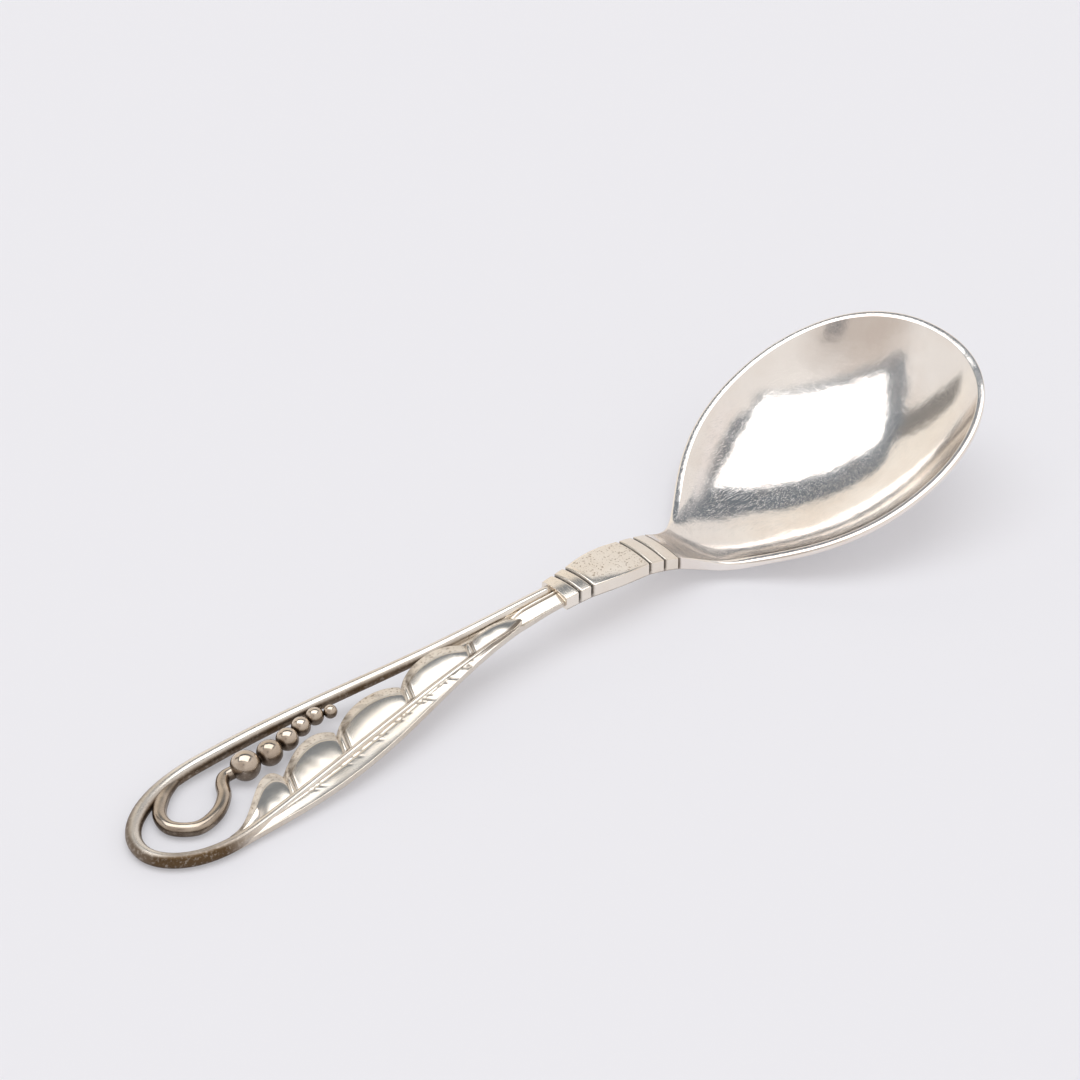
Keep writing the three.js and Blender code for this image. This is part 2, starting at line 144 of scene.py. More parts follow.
@dataclass(frozen=True)
class Sweep:
    """A plane cubic curve steered by two handles."""

    start: Point
    start_handle: Point
    end_handle: Point
    end: Point

    def corners(self) -> list[Array]:
        """Return the start, the two handles and the end as arrays."""
        return [np.array(p) for p in (self.start, self.start_handle, self.end_handle, self.end)]

    def at(self, t: Array) -> Array:
        """Return the curve's points at the parameters t, by the cubic Bernstein sum."""
        t = np.asarray(t, float)[..., None]
        a, b, c, d = self.corners()
        return (1 - t) ** 3 * a + 3 * (1 - t) ** 2 * t * b + 3 * (1 - t) * t ** 2 * c + t ** 3 * d

    def heading(self, t: Array) -> Array:
        """Return unit tangents at the parameters t, from the derivative of the cubic."""
        t = np.asarray(t, float)[..., None]
        a, b, c, d = self.corners()
        way = (1 - t) ** 2 * (b - a) + 2 * (1 - t) * t * (c - b) + t ** 2 * (d - c)
        return way / np.linalg.norm(way, axis=-1, keepdims=True)

    def samples(self) -> tuple[Array, Array]:
        """Return parameters along the curve and the points there, in the order of their stations."""
        t = np.linspace(0.0, 1.0, CURVE_SAMPLES)
        points = self.at(t)
        order = np.argsort(points[:, 0])
        return t[order], points[order]

    def parameter(self, x: Array) -> Array:
        """Return the parameter at which the curve reaches the stations x."""
        t, points = self.samples()
        return np.interp(x, points[:, 0], t)

    def over(self, x: Array) -> Array:
        """Return the second coordinate over the stations x."""
        _, points = self.samples()
        return np.interp(x, points[:, 0], points[:, 1])


def run_over(curves: list[Sweep], x: Array) -> Array:
    """Return the second coordinate of a run of curves over the stations x."""
    points = np.concatenate([curve.at(np.linspace(0.0, 1.0, RUN_SAMPLES)) for curve in curves])
    return np.interp(x, points[:, 0], points[:, 1])


HANDLE_PROFILE = Sweep(
    (LOOP_RADIUS, LOOP_RADIUS),
    (LOOP_RADIUS + 58.0, LOOP_RADIUS),
    (COLLAR_START - 29.0, LOOP_RADIUS + HANDLE_RISE),
    (COLLAR_START, LOOP_RADIUS + HANDLE_RISE),
)


def handle_height(x: Array) -> Array:
    """Return the height of the handle's middle over the table."""
    return HANDLE_PROFILE.over(x)


# Meshes


def ring_faces(count: int, around: int, caps: tuple[bool, bool]) -> tuple[list[list[int]], int]:
    """Return the faces between rings of points.

    Formula: point (i, j) joins (i + 1, j) and (i, j + 1), with j taken round the ring, and a cap closes the
    first or last ring with one flat face.

    Args:
        count: Number of rings.
        around: Points in each ring.
        caps: Whether the first and the last ring get a cap.

    Returns:
        The faces, side faces first, and the number of side faces.
    """
    index = np.arange(count * around).reshape(count, around)
    right = np.roll(index, -1, axis=1)
    faces = np.stack([index[:-1], index[1:], right[1:], right[:-1]], axis=-1).reshape(-1, 4).tolist()
    sides = len(faces)
    if caps[0]:
        faces.append(index[0].tolist())
    if caps[1]:
        faces.append(index[-1][::-1].tolist())
    return faces, sides


def close_outwards(mesh: bpy.types.Mesh) -> None:
    """Merge a mesh's doubled points and turn its faces outwards.

    Args:
        mesh: The mesh, changed in place.
    """
    solid = bmesh.new()
    solid.from_mesh(mesh)
    bmesh.ops.remove_doubles(solid, verts=solid.verts, dist=1e-7)
    bmesh.ops.recalc_face_normals(solid, faces=solid.faces)
    if solid.calc_volume(signed=True) < 0.0:
        bmesh.ops.reverse_faces(solid, faces=solid.faces)
    solid.to_mesh(mesh)
    solid.free()


def ring_mesh(name: str, rings: Array, masks: dict[Mask, Array], caps: tuple[bool, bool]) -> bpy.types.Object:
    """Make an object from rings of points that close on themselves.

    Args:
        name: Name of the piece.
        rings: Array of shape (rings, points, 3) in millimetres from the handle's end.
        masks: Point attributes that spread to the shape (rings, points).
        caps: Whether the first and the last ring get a cap.

    Returns:
        The object, linked to the scene, with smooth sides and flat caps.
    """
    count, around, _ = rings.shape
    places = rings.reshape(-1, 3) * MM - np.array([LENGTH / 2 * MM, 0.0, 0.0])
    faces, sides = ring_faces(count, around, caps)
    mesh = bpy.data.meshes.new(name)
    mesh.from_pydata(places.tolist(), [], faces)
    mesh.polygons.foreach_set("use_smooth", np.arange(len(faces)) < sides)
    for mask, values in masks.items():
        layer = mesh.attributes.new(mask.value, "FLOAT", "POINT")
        spread = np.broadcast_to(np.clip(values, 0.0, 1.0), (count, around))
        layer.data.foreach_set("value", spread.astype(np.float32).ravel())
    close_outwards(mesh)
    piece = bpy.data.objects.new(name, mesh)
    bpy.context.scene.collection.objects.link(piece)
    return piece


def tube_rings(centres: Array, headings: Array, radii: Array, sides: int) -> tuple[Array, Array]:
    """Carry a circle along a path.

    Formula: each ring point is the centre plus the radius times (cosine of the angle across the level
    heading plus sine of the angle upwards).

    Args:
        centres: Path points of shape (n, 3).
        headings: Level unit headings of shape (n, 2).
        radii: Radius at each point.
        sides: Points round the circle.

    Returns:
        Rings of shape (n, sides, 3) and the angles round the circle.
    """
    angles = 2.0 * np.pi * (np.arange(sides) + 0.5) / sides
    across = grid(-headings[:, 1], headings[:, 0], 0.0)
    spokes = across[:, None, :] * np.cos(angles)[None, :, None] + UP * np.sin(angles)[None, :, None]
    return centres[:, None, :] + radii[:, None, None] * spokes, angles


def relief_rings(plan: Array, face: Array, back: Array, edge_round: float) -> Array:
    """Close a relief over its plan with a level back.

    Formula: a ring runs over the face from its inner to its outer edge, down a rounded wall and back along
    the level underside.

    Args:
        plan: Array of shape (n, m, 2) with x and y over the face.
        face: Heights of the face, shape (n, m).
        back: Heights of the back, shape (n, m).
        edge_round: Radius of the outer upper edge.

    Returns:
        Rings of shape (n, 2 m + 7, 3).
    """
    top = np.concatenate([plan, face[..., None]], axis=-1)
    under = np.concatenate([plan, back[..., None]], axis=-1)
    out = top[:, -1:, :] - top[:, -2:-1, :]
    out[..., 2] = 0.0
    out /= np.maximum(np.linalg.norm(out, axis=-1, keepdims=True), 1e-6)
    turn = np.radians((22.0, 45.0, 68.0, 90.0))[None, :, None]
    rounded = top[:, -1:] + edge_round * (np.sin(turn) * out - (1.0 - np.cos(turn)) * UP)
    foot = under[:, -1:]
    lift = np.array((0.3, 0.15))[None, :, None]
    wall = foot + edge_round * out + lift * UP
    return np.concatenate([top, rounded, wall, foot + 0.5 * edge_round * out, under[:, ::-1]], axis=1)


def relief_mask(rings: Array, over: Array, under: float) -> Array:
    """Return a relief's mask: the given values over its face and one value on its wall and back.

    Args:
        rings: The relief's rings.
        over: Values over the face, of shape (n, m).
        under: Value of all other points.

    Returns:
        An array with one value for each point of the rings.
    """
    mask = np.full(rings.shape[:2], under)
    mask[:, :over.shape[1]] = over
    return mask


# Finishes


@dataclass(frozen=True)
class Grain:
    """A noise pattern: its scale per metre, its detail and how rough it is."""

    scale: float
    detail: float
    rough: float


CLOUDS = Grain(55.0, 4.0, 0.6)
FINE_GRAIN = Grain(900.0, 3.0, 0.65)
STAIN_PATCHES = Grain(1500.0, 4.0, 0.7)
PITS = Grain(2300.0, 2.0, 0.5)
RIPPLES = Grain(110.0, 2.0, 0.5)
DENTS = Grain(330.0, 6.0, 0.6)
SCRATCH_TURNS = ((0.2, 0.1, 0.5), (0.1, 0.3, 2.0), (0.4, 0.2, 1.2), (0.3, 0.1, 2.7))
SCRATCH_STRETCH = (1.0, 45.0, 45.0)
SCRATCH_CUT = (0.65, 0.72)


class NodeSheet:
    """A node tree with short calls for the nodes that the finishes and the studio use."""

    def __init__(self, tree: bpy.types.NodeTree) -> None:
        """Start from an empty tree."""
        tree.nodes.clear()
        self.tree = tree

    def link(self, value: object, socket: Socket) -> None:
        """Put a number, a colour or another node's output into a socket."""
        if isinstance(value, Socket):
            self.tree.links.new(value, socket)
        else:
            socket.default_value = value

    def node(self, kind: str, values: dict[object, object], **settings: object) -> bpy.types.Node:
        """Add a node.

        Args:
            kind: Blender's name for the type of node.
            values: What goes into each input, by the input's name or number.
            **settings: Properties of the node, which are set before its inputs.

        Returns:
            The node.
        """
        made = self.tree.nodes.new(kind)
        for name, setting in settings.items():
            setattr(made, name, setting)
        for key, value in values.items():
            self.link(value, made.inputs[key])
        return made

    def coordinates(self, kind: str) -> Socket:
        """Return the coordinates of the given kind."""
        return self.node("ShaderNodeTexCoord", {}).outputs[kind]

    def turned(self, where: Socket, angle: Colour, scale: Colour) -> Socket:
        """Return coordinates turned by the angles and stretched by the scales."""
        values = {"Vector": where, "Rotation": angle, "Scale": scale}
        return self.node("ShaderNodeMapping", values).outputs["Vector"]

    def noise(self, where: Socket, grain: Grain) -> Socket:
        """Return a noise value of the given grain."""
        values = {"Vector": where, "Scale": grain.scale, "Detail": grain.detail, "Roughness": grain.rough}
        return self.node("ShaderNodeTexNoise", values).outputs["Fac"]

    def step(self, value: Socket, low: float, high: float) -> Socket:
        """Return a smooth step of the value from 0 at low to 1 at high."""
        values = {"Value": value, "From Min": low, "From Max": high}
        return self.node("ShaderNodeMapRange", values, interpolation_type="SMOOTHSTEP").outputs["Result"]

    def sum(self, kind: Sum, first: object, second: object = 0.0, clamp: bool = False) -> Socket:
        """Return the result of an arithmetic node, held between 0 and 1 where clamp is set."""
        values = {0: first, 1: second}
        return self.node("ShaderNodeMath", values, operation=kind.value, use_clamp=clamp).outputs["Value"]

    def times(self, first: object, second: object) -> Socket:
        """Return the clamped product of two values."""
        return self.sum(Sum.MULTIPLY, first, second, True)

    def plus(self, first: object, second: object) -> Socket:
        """Return the clamped sum of two values."""
        return self.sum(Sum.ADD, first, second, True)

    def along(self, way: Socket, axis: Array) -> Socket:
        """Return the part of a direction that points along an axis."""
        values = {0: way, 1: tuple(axis)}
        return self.node("ShaderNodeVectorMath", values, operation="DOT_PRODUCT").outputs["Value"]

    def mask(self, mask: Mask) -> Socket:
        """Return a point attribute of the piece."""
        return self.node("ShaderNodeAttribute", {}, attribute_name=mask.value).outputs["Fac"]

    def colour(self, share: Socket, first: object, second: object) -> Socket:
        """Return the mix of two colours by a share."""
        pair = [value if isinstance(value, Socket) else (*value, 1.0) for value in (first, second)]
        values = {"Factor": share, "A": pair[0], "B": pair[1]}
        return self.node("ShaderNodeMix", values, data_type="RGBA").outputs["Result"]

    def bump(self, height: Socket, depth: float, normal: Socket | None = None) -> Socket:
        """Return a normal that follows a height field of the given depth in metres."""
        values = {"Strength": 1.0, "Distance": depth, "Height": height}
        if normal is not None:
            values["Normal"] = normal
        return self.node("ShaderNodeBump", values).outputs["Normal"]

    def show(self, shader: bpy.types.Node, output: str) -> None:
        """Send a shader to an output node of the given type."""
        self.node(output, {"Surface": shader.outputs[0]})


@dataclass(frozen=True)
class SilverFinish:
    """Silver with clouding, wear scratches, pits where it is matt, and a dark tone that is tarnish in places
    and painted shade in others.
    """

    name: str
    slot: str
    bright: Colour = (0.93, 0.89, 0.85)
    warm: Colour = (0.87, 0.80, 0.74)
    # Dark colour mixed in by the tarnish_and_shade mask: real tarnish on the wire and balls, painted shade in
    # grooves, creases and joins.
    tarnish_and_shade: Colour = (0.16, 0.125, 0.095)
    speck: Colour = (0.30, 0.20, 0.11)
    gloss: float = 0.10
    matt: float = 0.42
    scratch: float = 0.5
    scratch_depth: float = 1.2e-6
    pit_depth: float = 4.0e-5
    ripple_depth: float = 2.0e-5
    dent_depth: float = 4.0e-6
    grain_depth: float = 1.0e-6
    speckle: float = 0.0
    cloud_dulling: float = 0.05
    scratch_dulling: float = 0.09
    tarnish_and_shade_dulling: float = 0.25

    def scratches(self, sheet: NodeSheet, place: Socket) -> Socket:
        """Return hair-line scratches: four sets of noise drawn out along a line each, cut to thin lines.

        Args:
            sheet: The material's nodes.
            place: The piece's own coordinates.

        Returns:
            A value of 1 on a scratch and 0 beside it.
        """
        sets = []
        for number, turn in enumerate(SCRATCH_TURNS):
            where = sheet.turned(place, turn, SCRATCH_STRETCH)
            noise = sheet.noise(where, Grain(180.0 + 60.0 * number, 2.0, 0.5))
            sets.append(sheet.step(noise, *SCRATCH_CUT))
        lines = sets[0]
        for line in sets[1:]:
            lines = sheet.sum(Sum.MAXIMUM, lines, line, True)
        return lines

    def material(self) -> bpy.types.Material:
        """Return the material made of colour clouds, tarnish with painted shade, specks, scratches, pits and
        ripples.

        Returns:
            A new material with the finish's name.
        """
        material = bpy.data.materials.new(self.name)
        material.use_nodes = True
        sheet = NodeSheet(material.node_tree)
        place = sheet.coordinates("Object")
        cloud = sheet.noise(place, CLOUDS)
        fine = sheet.noise(place, FINE_GRAIN)
        patch = sheet.noise(place, STAIN_PATCHES)
        matt = sheet.mask(Mask.MATT)
        tarnish_and_shade_mask = sheet.mask(Mask.TARNISH_AND_SHADE)
        lines = self.scratches(sheet, place)
        pits = sheet.step(sheet.noise(place, PITS), 0.57, 0.66)

        # Share of the dark colour: the point mask made patchy; it paints tarnish and, where the mask says so,
        # shade.
        tarnish_and_shade_share = sheet.times(tarnish_and_shade_mask, sheet.plus(sheet.times(sheet.step(patch, 0.25, 0.6), 0.4), 0.7))
        specks = sheet.times(pits, sheet.plus(sheet.times(matt, 0.7), self.speckle))
        base = sheet.colour(sheet.step(cloud, 0.35, 0.7), self.bright, self.warm)
        base = sheet.colour(specks, base, self.speck)
        base = sheet.colour(tarnish_and_shade_share, base, self.tarnish_and_shade)

        rough = sheet.plus(self.gloss, sheet.times(sheet.step(cloud, 0.3, 0.8), self.cloud_dulling))
        rough = sheet.plus(rough, sheet.times(lines, self.scratch_dulling * self.scratch))
        rough = sheet.plus(rough, sheet.times(matt, self.matt - self.gloss))
        rough = sheet.plus(rough, sheet.times(tarnish_and_shade_share, self.tarnish_and_shade_dulling))

        normal = sheet.bump(sheet.noise(place, RIPPLES), self.ripple_depth)
        normal = sheet.bump(sheet.noise(place, DENTS), self.dent_depth, normal)
        normal = sheet.bump(fine, self.grain_depth, normal)
        normal = sheet.bump(sheet.times(lines, self.scratch), self.scratch_depth, normal)
        pitted = sheet.times(sheet.plus(pits, sheet.times(fine, 0.6)), matt)
        normal = sheet.bump(sheet.sum(Sum.SUBTRACT, 1.0, pitted, True), self.pit_depth, normal)

        values = {"Base Color": base, "Roughness": rough, "Normal": normal, "Metallic": 1.0}
        sheet.show(sheet.node("ShaderNodeBsdfPrincipled", values), "ShaderNodeOutputMaterial")
        return material


POLISHED = SilverFinish(
    "polished_bowl_silver", "polished_silver", gloss=0.08, scratch=1.0, scratch_depth=3.8e-6,
    ripple_depth=1.1e-4, dent_depth=2.7e-5, grain_depth=1.0e-5,
)
# Its near-black dark colour is painted shade in the collar's grooves and at the seam.
FILED = SilverFinish(
    "filed_collar_silver", "filed_silver", gloss=0.12, matt=0.5, tarnish_and_shade=(0.025, 0.022, 0.02),
    bright=(0.91, 0.85, 0.77), warm=(0.85, 0.77, 0.67),
)
WIRE = SilverFinish(
    "drawn_wire_silver", "wire_silver", gloss=0.17, speckle=0.08, tarnish_and_shade=(0.12, 0.076, 0.04),
    bright=(0.92, 0.87, 0.80), warm=(0.83, 0.75, 0.66),
)
TARNISHED = SilverFinish(
    "tarnished_wire_silver", "tarnished_silver", gloss=0.1, speckle=0.1, tarnish_and_shade=(0.11, 0.08, 0.055),
    bright=(0.68, 0.59, 0.50), warm=(0.52, 0.43, 0.34),
)
CHASED = SilverFinish(
    "chased_leaf_silver", "chased_silver", gloss=0.15, matt=0.5,
    bright=(0.88, 0.82, 0.74), warm=(0.78, 0.70, 0.60),
)


def dress(piece: bpy.types.Object, finish: SilverFinish, node: str) -> bpy.types.Object:
    """Give a piece its material and its place in the frame.

    Args:
        piece: The new object.
        finish: Finish that it takes.
        node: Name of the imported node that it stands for.

    Returns:
        The same object.
    """
    material = bpy.data.materials.get(finish.name) or finish.material()
    piece.data.materials.append(material)
    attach(piece, "root")
    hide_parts(node)
    LOG.info("%s: %d faces, stands for %s", piece.name, len(piece.data.polygons), node)
    return piece


# Bent wire


@dataclass
class BentWire:
    """The round wire that is leg, end loop and rib of the leaf in one."""

    leg_diameter: float = 2.2
    side_diameter: float = 3.2
    loop_diameter: float = 2.9
    turn_diameter: float = 2.8
    rib_diameter: float = 1.0
    tail_diameter: float = 0.3
    leg_offset: float = 1.6
    leg_ease: float = 33.0
    half_width: float = 11.2
    shoulder_at: float = 24.0
    shoulder_ease: float = 13.0
    end_skew: float = -2.0
    end_rise: float = 7.2
    end_fall: float = 4.5
    turn_at: float = 15.5
    turn_offset: float = -11.0
    turn_ease: tuple[float, float] = (9.0, 8.5)
    rib_end: float = 88.0
    rib_offset: float = -3.4
    rib_ease: float = 38.0
    tail: tuple[Point, ...] = ((1.5, 0.3), (2.4, 0.8), (3.4, 1.5))
    sides: int = 32

    def spans(self) -> list[tuple[Sweep, float, float, int]]:
        """Return the wire's curves in order, each with its end diameters and its number of steps.

        Returns:
            One row for each Span.
        """
        collar = (COLLAR_START, self.leg_offset)
        shoulder = (self.shoulder_at, self.half_width)
        end = (LOOP_RADIUS, self.end_skew)
        turn = (self.turn_at, self.turn_offset)
        rib = (self.rib_end, self.rib_offset)
        tail = [(rib[0] + ahead, rib[1] + aside) for ahead, aside in self.tail]
        before, after = self.turn_ease
        leg_curve = Sweep(
            collar, (collar[0] - self.leg_ease, collar[1]),
            (shoulder[0] + self.leg_ease, shoulder[1]), shoulder,
        )
        shoulder_curve = Sweep(
            shoulder, (shoulder[0] - self.shoulder_ease, shoulder[1]),
            (end[0], end[1] + self.end_rise), end,
        )
        turn_curve = Sweep(end, (end[0], end[1] - self.end_fall), (turn[0] - before, turn[1]), turn)
        rib_curve = Sweep(turn, (turn[0] + after, turn[1]), (rib[0] - self.rib_ease, rib[1]), rib)
        return [
            (leg_curve, self.leg_diameter, self.side_diameter, 90),
            (shoulder_curve, self.side_diameter, self.loop_diameter, 60),
            (turn_curve, self.loop_diameter, self.turn_diameter, 46),
            (rib_curve, self.turn_diameter, self.rib_diameter, 90),
            (Sweep(rib, *tail), self.rib_diameter, self.tail_diameter, 12),
        ]

    def edge(self, span: Span, x: Array, side: float) -> Array:
        """Return the wire's edge over stations of a span.

        Args:
            span: The curve that is meant.
            x: Stations.
            side: +1 or -1 for an edge, 0 for the middle.

        Returns:
            The offset from the spoon's middle plane at each station.
        """
        curve, start, end, _ = self.spans()[span.value]
        t = curve.parameter(x)
        return curve.at(t)[..., 1] + side * blend(start, end, t) / 2.0

    def tarnish_and_shade(self, plan: Array, rings: Array, angles: Array) -> tuple[Array, Array]:
        """Return where the wire is dark and where it is dull.

        Formula: the inner flank is dark along the open part of the handle, the underside a little, and the
        outer flank of the loop and its low side the most, with slow waves over all of it.

        Args:
            plan: Points along the wire from above.
            rings: The wire's rings.
            angles: Angles round a ring.

        Returns:
            The masks of grime and of dullness.
        """
        inside = ease(0.75 * np.cos(angles) - 0.65 * np.sin(angles), -0.2, 0.5)[None, :]
        outside = ease(-np.cos(angles) - 0.25 * np.sin(angles), -0.35, 0.55)[None, :]
        # The darker underside is partly tarnish and partly painted shade; the inner flank and the loop's end
        # are tarnish.
        below = ease(-np.sin(angles), 0.2, 0.95)[None, :]
        near_end = 1.0 - ease(plan[:, :1], 8.0, 24.0)
        open_part = 1.0 - ease(plan[:, :1], 62.0, 92.0)
        low_side = 1.0 - ease(plan[:, 1:], -9.0, -3.0)
        dark = inside * (0.15 + 0.7 * open_part) + 0.3 * below + 0.1 * open_part
        dark = dark + near_end * (0.1 + 0.35 * low_side + 0.7 * outside)
        return dark + 0.05 * waves(rings, 6.0, 3), 0.2 * near_end

    def build(self) -> bpy.types.Object:
        """Return the wire: circles carried along the curves and worn level where they rest.

        Returns:
            The dressed piece.
        """
        plans, headings, radii = [], [], []
        for number, (curve, start, end, steps) in enumerate(self.spans()):
            t = np.linspace(0.0, 1.0, steps + 1)[0 if number == 0 else 1:]
            plans.append(curve.at(t))
            headings.append(curve.heading(t))
            radii.append(blend(start, end, t) / 2.0)
        plan = np.concatenate(plans)
        centres = np.column_stack([plan, handle_height(plan[:, 0])])
        rings, angles = tube_rings(centres, np.concatenate(headings), np.concatenate(radii), self.sides)
        rings[..., 2] = np.maximum(rings[..., 2], 0.0)
        dark, dull = self.tarnish_and_shade(plan, rings, angles)
        piece = ring_mesh("bent_wire", rings, {Mask.TARNISH_AND_SHADE: dark, Mask.MATT: dull}, (True, True))
        return dress(piece, WIRE, "loop_wire")


# Tendril and beads


@dataclass
class Tendril:
    """The curled wire inside the end loop, whose steps are measured from where it leaves the loop."""

    wire: BentWire
    diameter: float = 2.7
    tip_diameter: float = 2.5
    tip_share: float = 6.0 / 9.0
    root_share: float = 0.09
    root_thickness: float = 0.6
    root_taper: float = 0.14
    steps: tuple[Point, ...] = (
        (0.0, 0.0), (-7.2, -3.3), (-10.9, -7.4), (-11.2, -11.0), (-7.6, -14.2), (-2.6, -13.4),
        (1.4, -10.4), (3.3, -7.4), (4.7, -6.2), (8.0, -6.3),
    )
    steps_between: int = 13
    sides: int = 28
    dullness: float = 0.05

    def root(self) -> Array:
        """Return the point of the loop that the tendril leaves."""
        return self.wire.spans()[Span.SHOULDER.value][0].at(np.array(self.root_share))

    def path(self) -> Array:
        """Return points along the curl.

        Formula: a centripetal spline, which passes through the steps with knots spaced by the square root of
        the distance between them.

        Returns:
            Points from above, of shape (n, 2).
        """
        knots = self.root() + np.array(self.steps)
        before = 2.0 * knots[:1] - knots[1:2]
        after = 2.0 * knots[-1:] - knots[-2:-1]
        p = np.concatenate([before, knots, after])
        gap = np.sqrt(np.linalg.norm(np.diff(p, axis=0), axis=1))[:, None]
        slope = np.diff(p, axis=0) / gap
        middle = slope[:-1] - (p[2:] - p[:-2]) / (gap[:-1] + gap[1:]) + slope[1:]
        t = np.linspace(0.0, 1.0, self.steps_between + 1)[:-1, None, None]
        a, b = p[1:-2], p[2:-1]
        m, n = middle[:-1] * gap[1:-1], middle[1:] * gap[1:-1]
        curve = (
            (2 * t ** 3 - 3 * t ** 2 + 1) * a + (t ** 3 - 2 * t ** 2 + t) * m
            + (3 * t ** 2 - 2 * t ** 3) * b + (t ** 3 - t ** 2) * n
        )
        points = curve.transpose(1, 0, 2).reshape(-1, 2)
        return np.concatenate([points, knots[-1:]])

    def build(self) -> bpy.types.Object:
        """Return the tendril: a circle carried along the curl, brown below and where it leaves the loop.

        Returns:
            The dressed piece.
        """
        plan = self.path()
        heading = np.gradient(plan, axis=0)
        heading /= np.linalg.norm(heading, axis=1, keepdims=True)
        share = np.linspace(0.0, 1.0, len(plan))
        radii = blend(self.diameter, self.tip_diameter, ease(share, self.tip_share, 1.0)) / 2.0
        radii = radii * blend(self.root_thickness, 1.0, ease(share, 0.0, self.root_taper))
        centres = np.column_stack([plan, handle_height(plan[:, 0])])
        rings, angles = tube_rings(centres, heading, radii, self.sides)
        # Tarnish all over; darker below, partly tarnish and partly painted shade; painted shade where it
        # leaves the loop.
        below = ease(-np.sin(angles), -0.9, 0.05)[None, :]
        crotch = 1.0 - ease(share, 0.02, 0.2)[:, None]
        tarnish_and_shade = 0.18 + 0.75 * below + 0.5 * crotch + 0.12 * waves(rings, 4.0, 11)
        masks = {Mask.TARNISH_AND_SHADE: tarnish_and_shade, Mask.MATT: np.array(self.dullness)}
        piece = ring_mesh("curled_tendril", rings, masks, (True, True))
        return dress(piece, TARNISHED, "tendril")


@dataclass
class BeadRow:
    """The row of solid balls that runs on from the tendril's tip."""

    root: Array
    diameters: tuple[float, ...] = (5.8, 5.05, 4.4, 3.75, 3.45, 2.65)
    headings: tuple[float, ...] = (-3.0, 8.0, 13.0, 6.0, -21.0)
    first: Point = (9.0, -7.0)
    lift: float = 0.75
    fillet: float = 0.3
    fillet_reach: float = 0.12
    unevenness: float = 0.006
    dullness: float = 0.04
    circles: int = 41
    sides: int = 56

    def centres(self) -> Array:
        """Return the balls' middles: each is one mean diameter from the last along its heading.

        Returns:
            Points of shape (balls, 3).
        """
        sizes = np.array(self.diameters)
        reach = (sizes[:-1] + sizes[1:]) / 2.0
        turn = np.radians(self.headings)
        steps = np.column_stack([reach * np.cos(turn), reach * np.sin(turn)])
        plan = np.concatenate([np.zeros((1, 2)), np.cumsum(steps, axis=0)]) + self.root + np.array(self.first)
        return np.column_stack([plan, handle_height(plan[:, 0]) + self.lift])

    def ball(self, number: int, centres: Array) -> bpy.types.Object:
        """Return one ball, turned along the row, with a solder fillet at each neighbour.

        Formula: a sphere given by its circles of latitude about the row's heading. Towards a neighbour the
        circle's radius is the fourth-power sum of the sphere's and a narrow bell's, which flares into the
        solder.

        Args:
            number: Place in the row, from 0.
            centres: Middles of all the balls.

        Returns:
            The dressed piece.
        """
        radius = self.diameters[number] / 2.0
        ends = centres[max(number - 1, 0)], centres[min(number + 1, len(centres) - 1)]
        axis = (ends[1] - ends[0]) / np.linalg.norm(ends[1] - ends[0])
        side = np.cross(axis, UP)
        side /= np.linalg.norm(side)
        up = np.cross(side, axis)
        latitude = np.linspace(0.0, np.pi, self.circles)
        along = -np.cos(latitude) * radius
        sphere = np.sin(latitude) * radius
        fillet = self.fillet * radius * bell(np.abs(along), radius, self.fillet_reach * radius)
        joined = np.array([number > 0, number < len(centres) - 1])[(along > 0).astype(int)]
        girth = (sphere ** 4 + (fillet * joined) ** 4) ** 0.25
        angles = 2.0 * np.pi * np.arange(self.sides) / self.sides
        spokes = np.cos(angles)[:, None] * side + np.sin(angles)[:, None] * up
        rings = centres[number] + along[:, None, None] * axis + girth[:, None, None] * spokes
        rings = rings + self.unevenness * radius * waves(rings, 3.0, 20 + number)[..., None] * spokes
        # Painted shade on each ball's lower half and painted shadow where it meets a neighbour.
        fall = (centres[number][2] - rings[..., 2]) / radius
        near = np.abs(along)[:, None] / radius
        tarnish_and_shade = 0.85 * ease(fall, -0.8, 0.1) + 0.9 * ease(near, 0.72, 0.92) * joined[:, None]
        masks = {Mask.TARNISH_AND_SHADE: tarnish_and_shade, Mask.MATT: np.array(self.dullness)}
        piece = ring_mesh(f"ball_{number + 1}", rings, masks, (False, False))
        return dress(piece, TARNISHED, f"bead_{number + 1}")

    def build(self) -> list[bpy.types.Object]:
        """Return all the balls, largest first."""
        centres = self.centres()
        return [self.ball(number, centres) for number in range(len(self.diameters))]


# Leaf


@dataclass(frozen=True)
class LobeShape:
    """One lobe of the leaf.

    It starts and ends on the rib. The crest is the height of its outline over the rib, the feet are what is
    left of it at both ends, and the peak is its place along the lobe. The rise is the dome's height, and the
    border lies outside the chased line.
    """

    start: float
    end: float
    crest: float
    foot_start: float
    foot_end: float
    peak: float
    rise: float
    border: float
    pitting: float = 0.9
    fold: float = 0.45
    crease: float = 1.0
    tip_fall: float = 0.0
    dark_start: float = 0.0


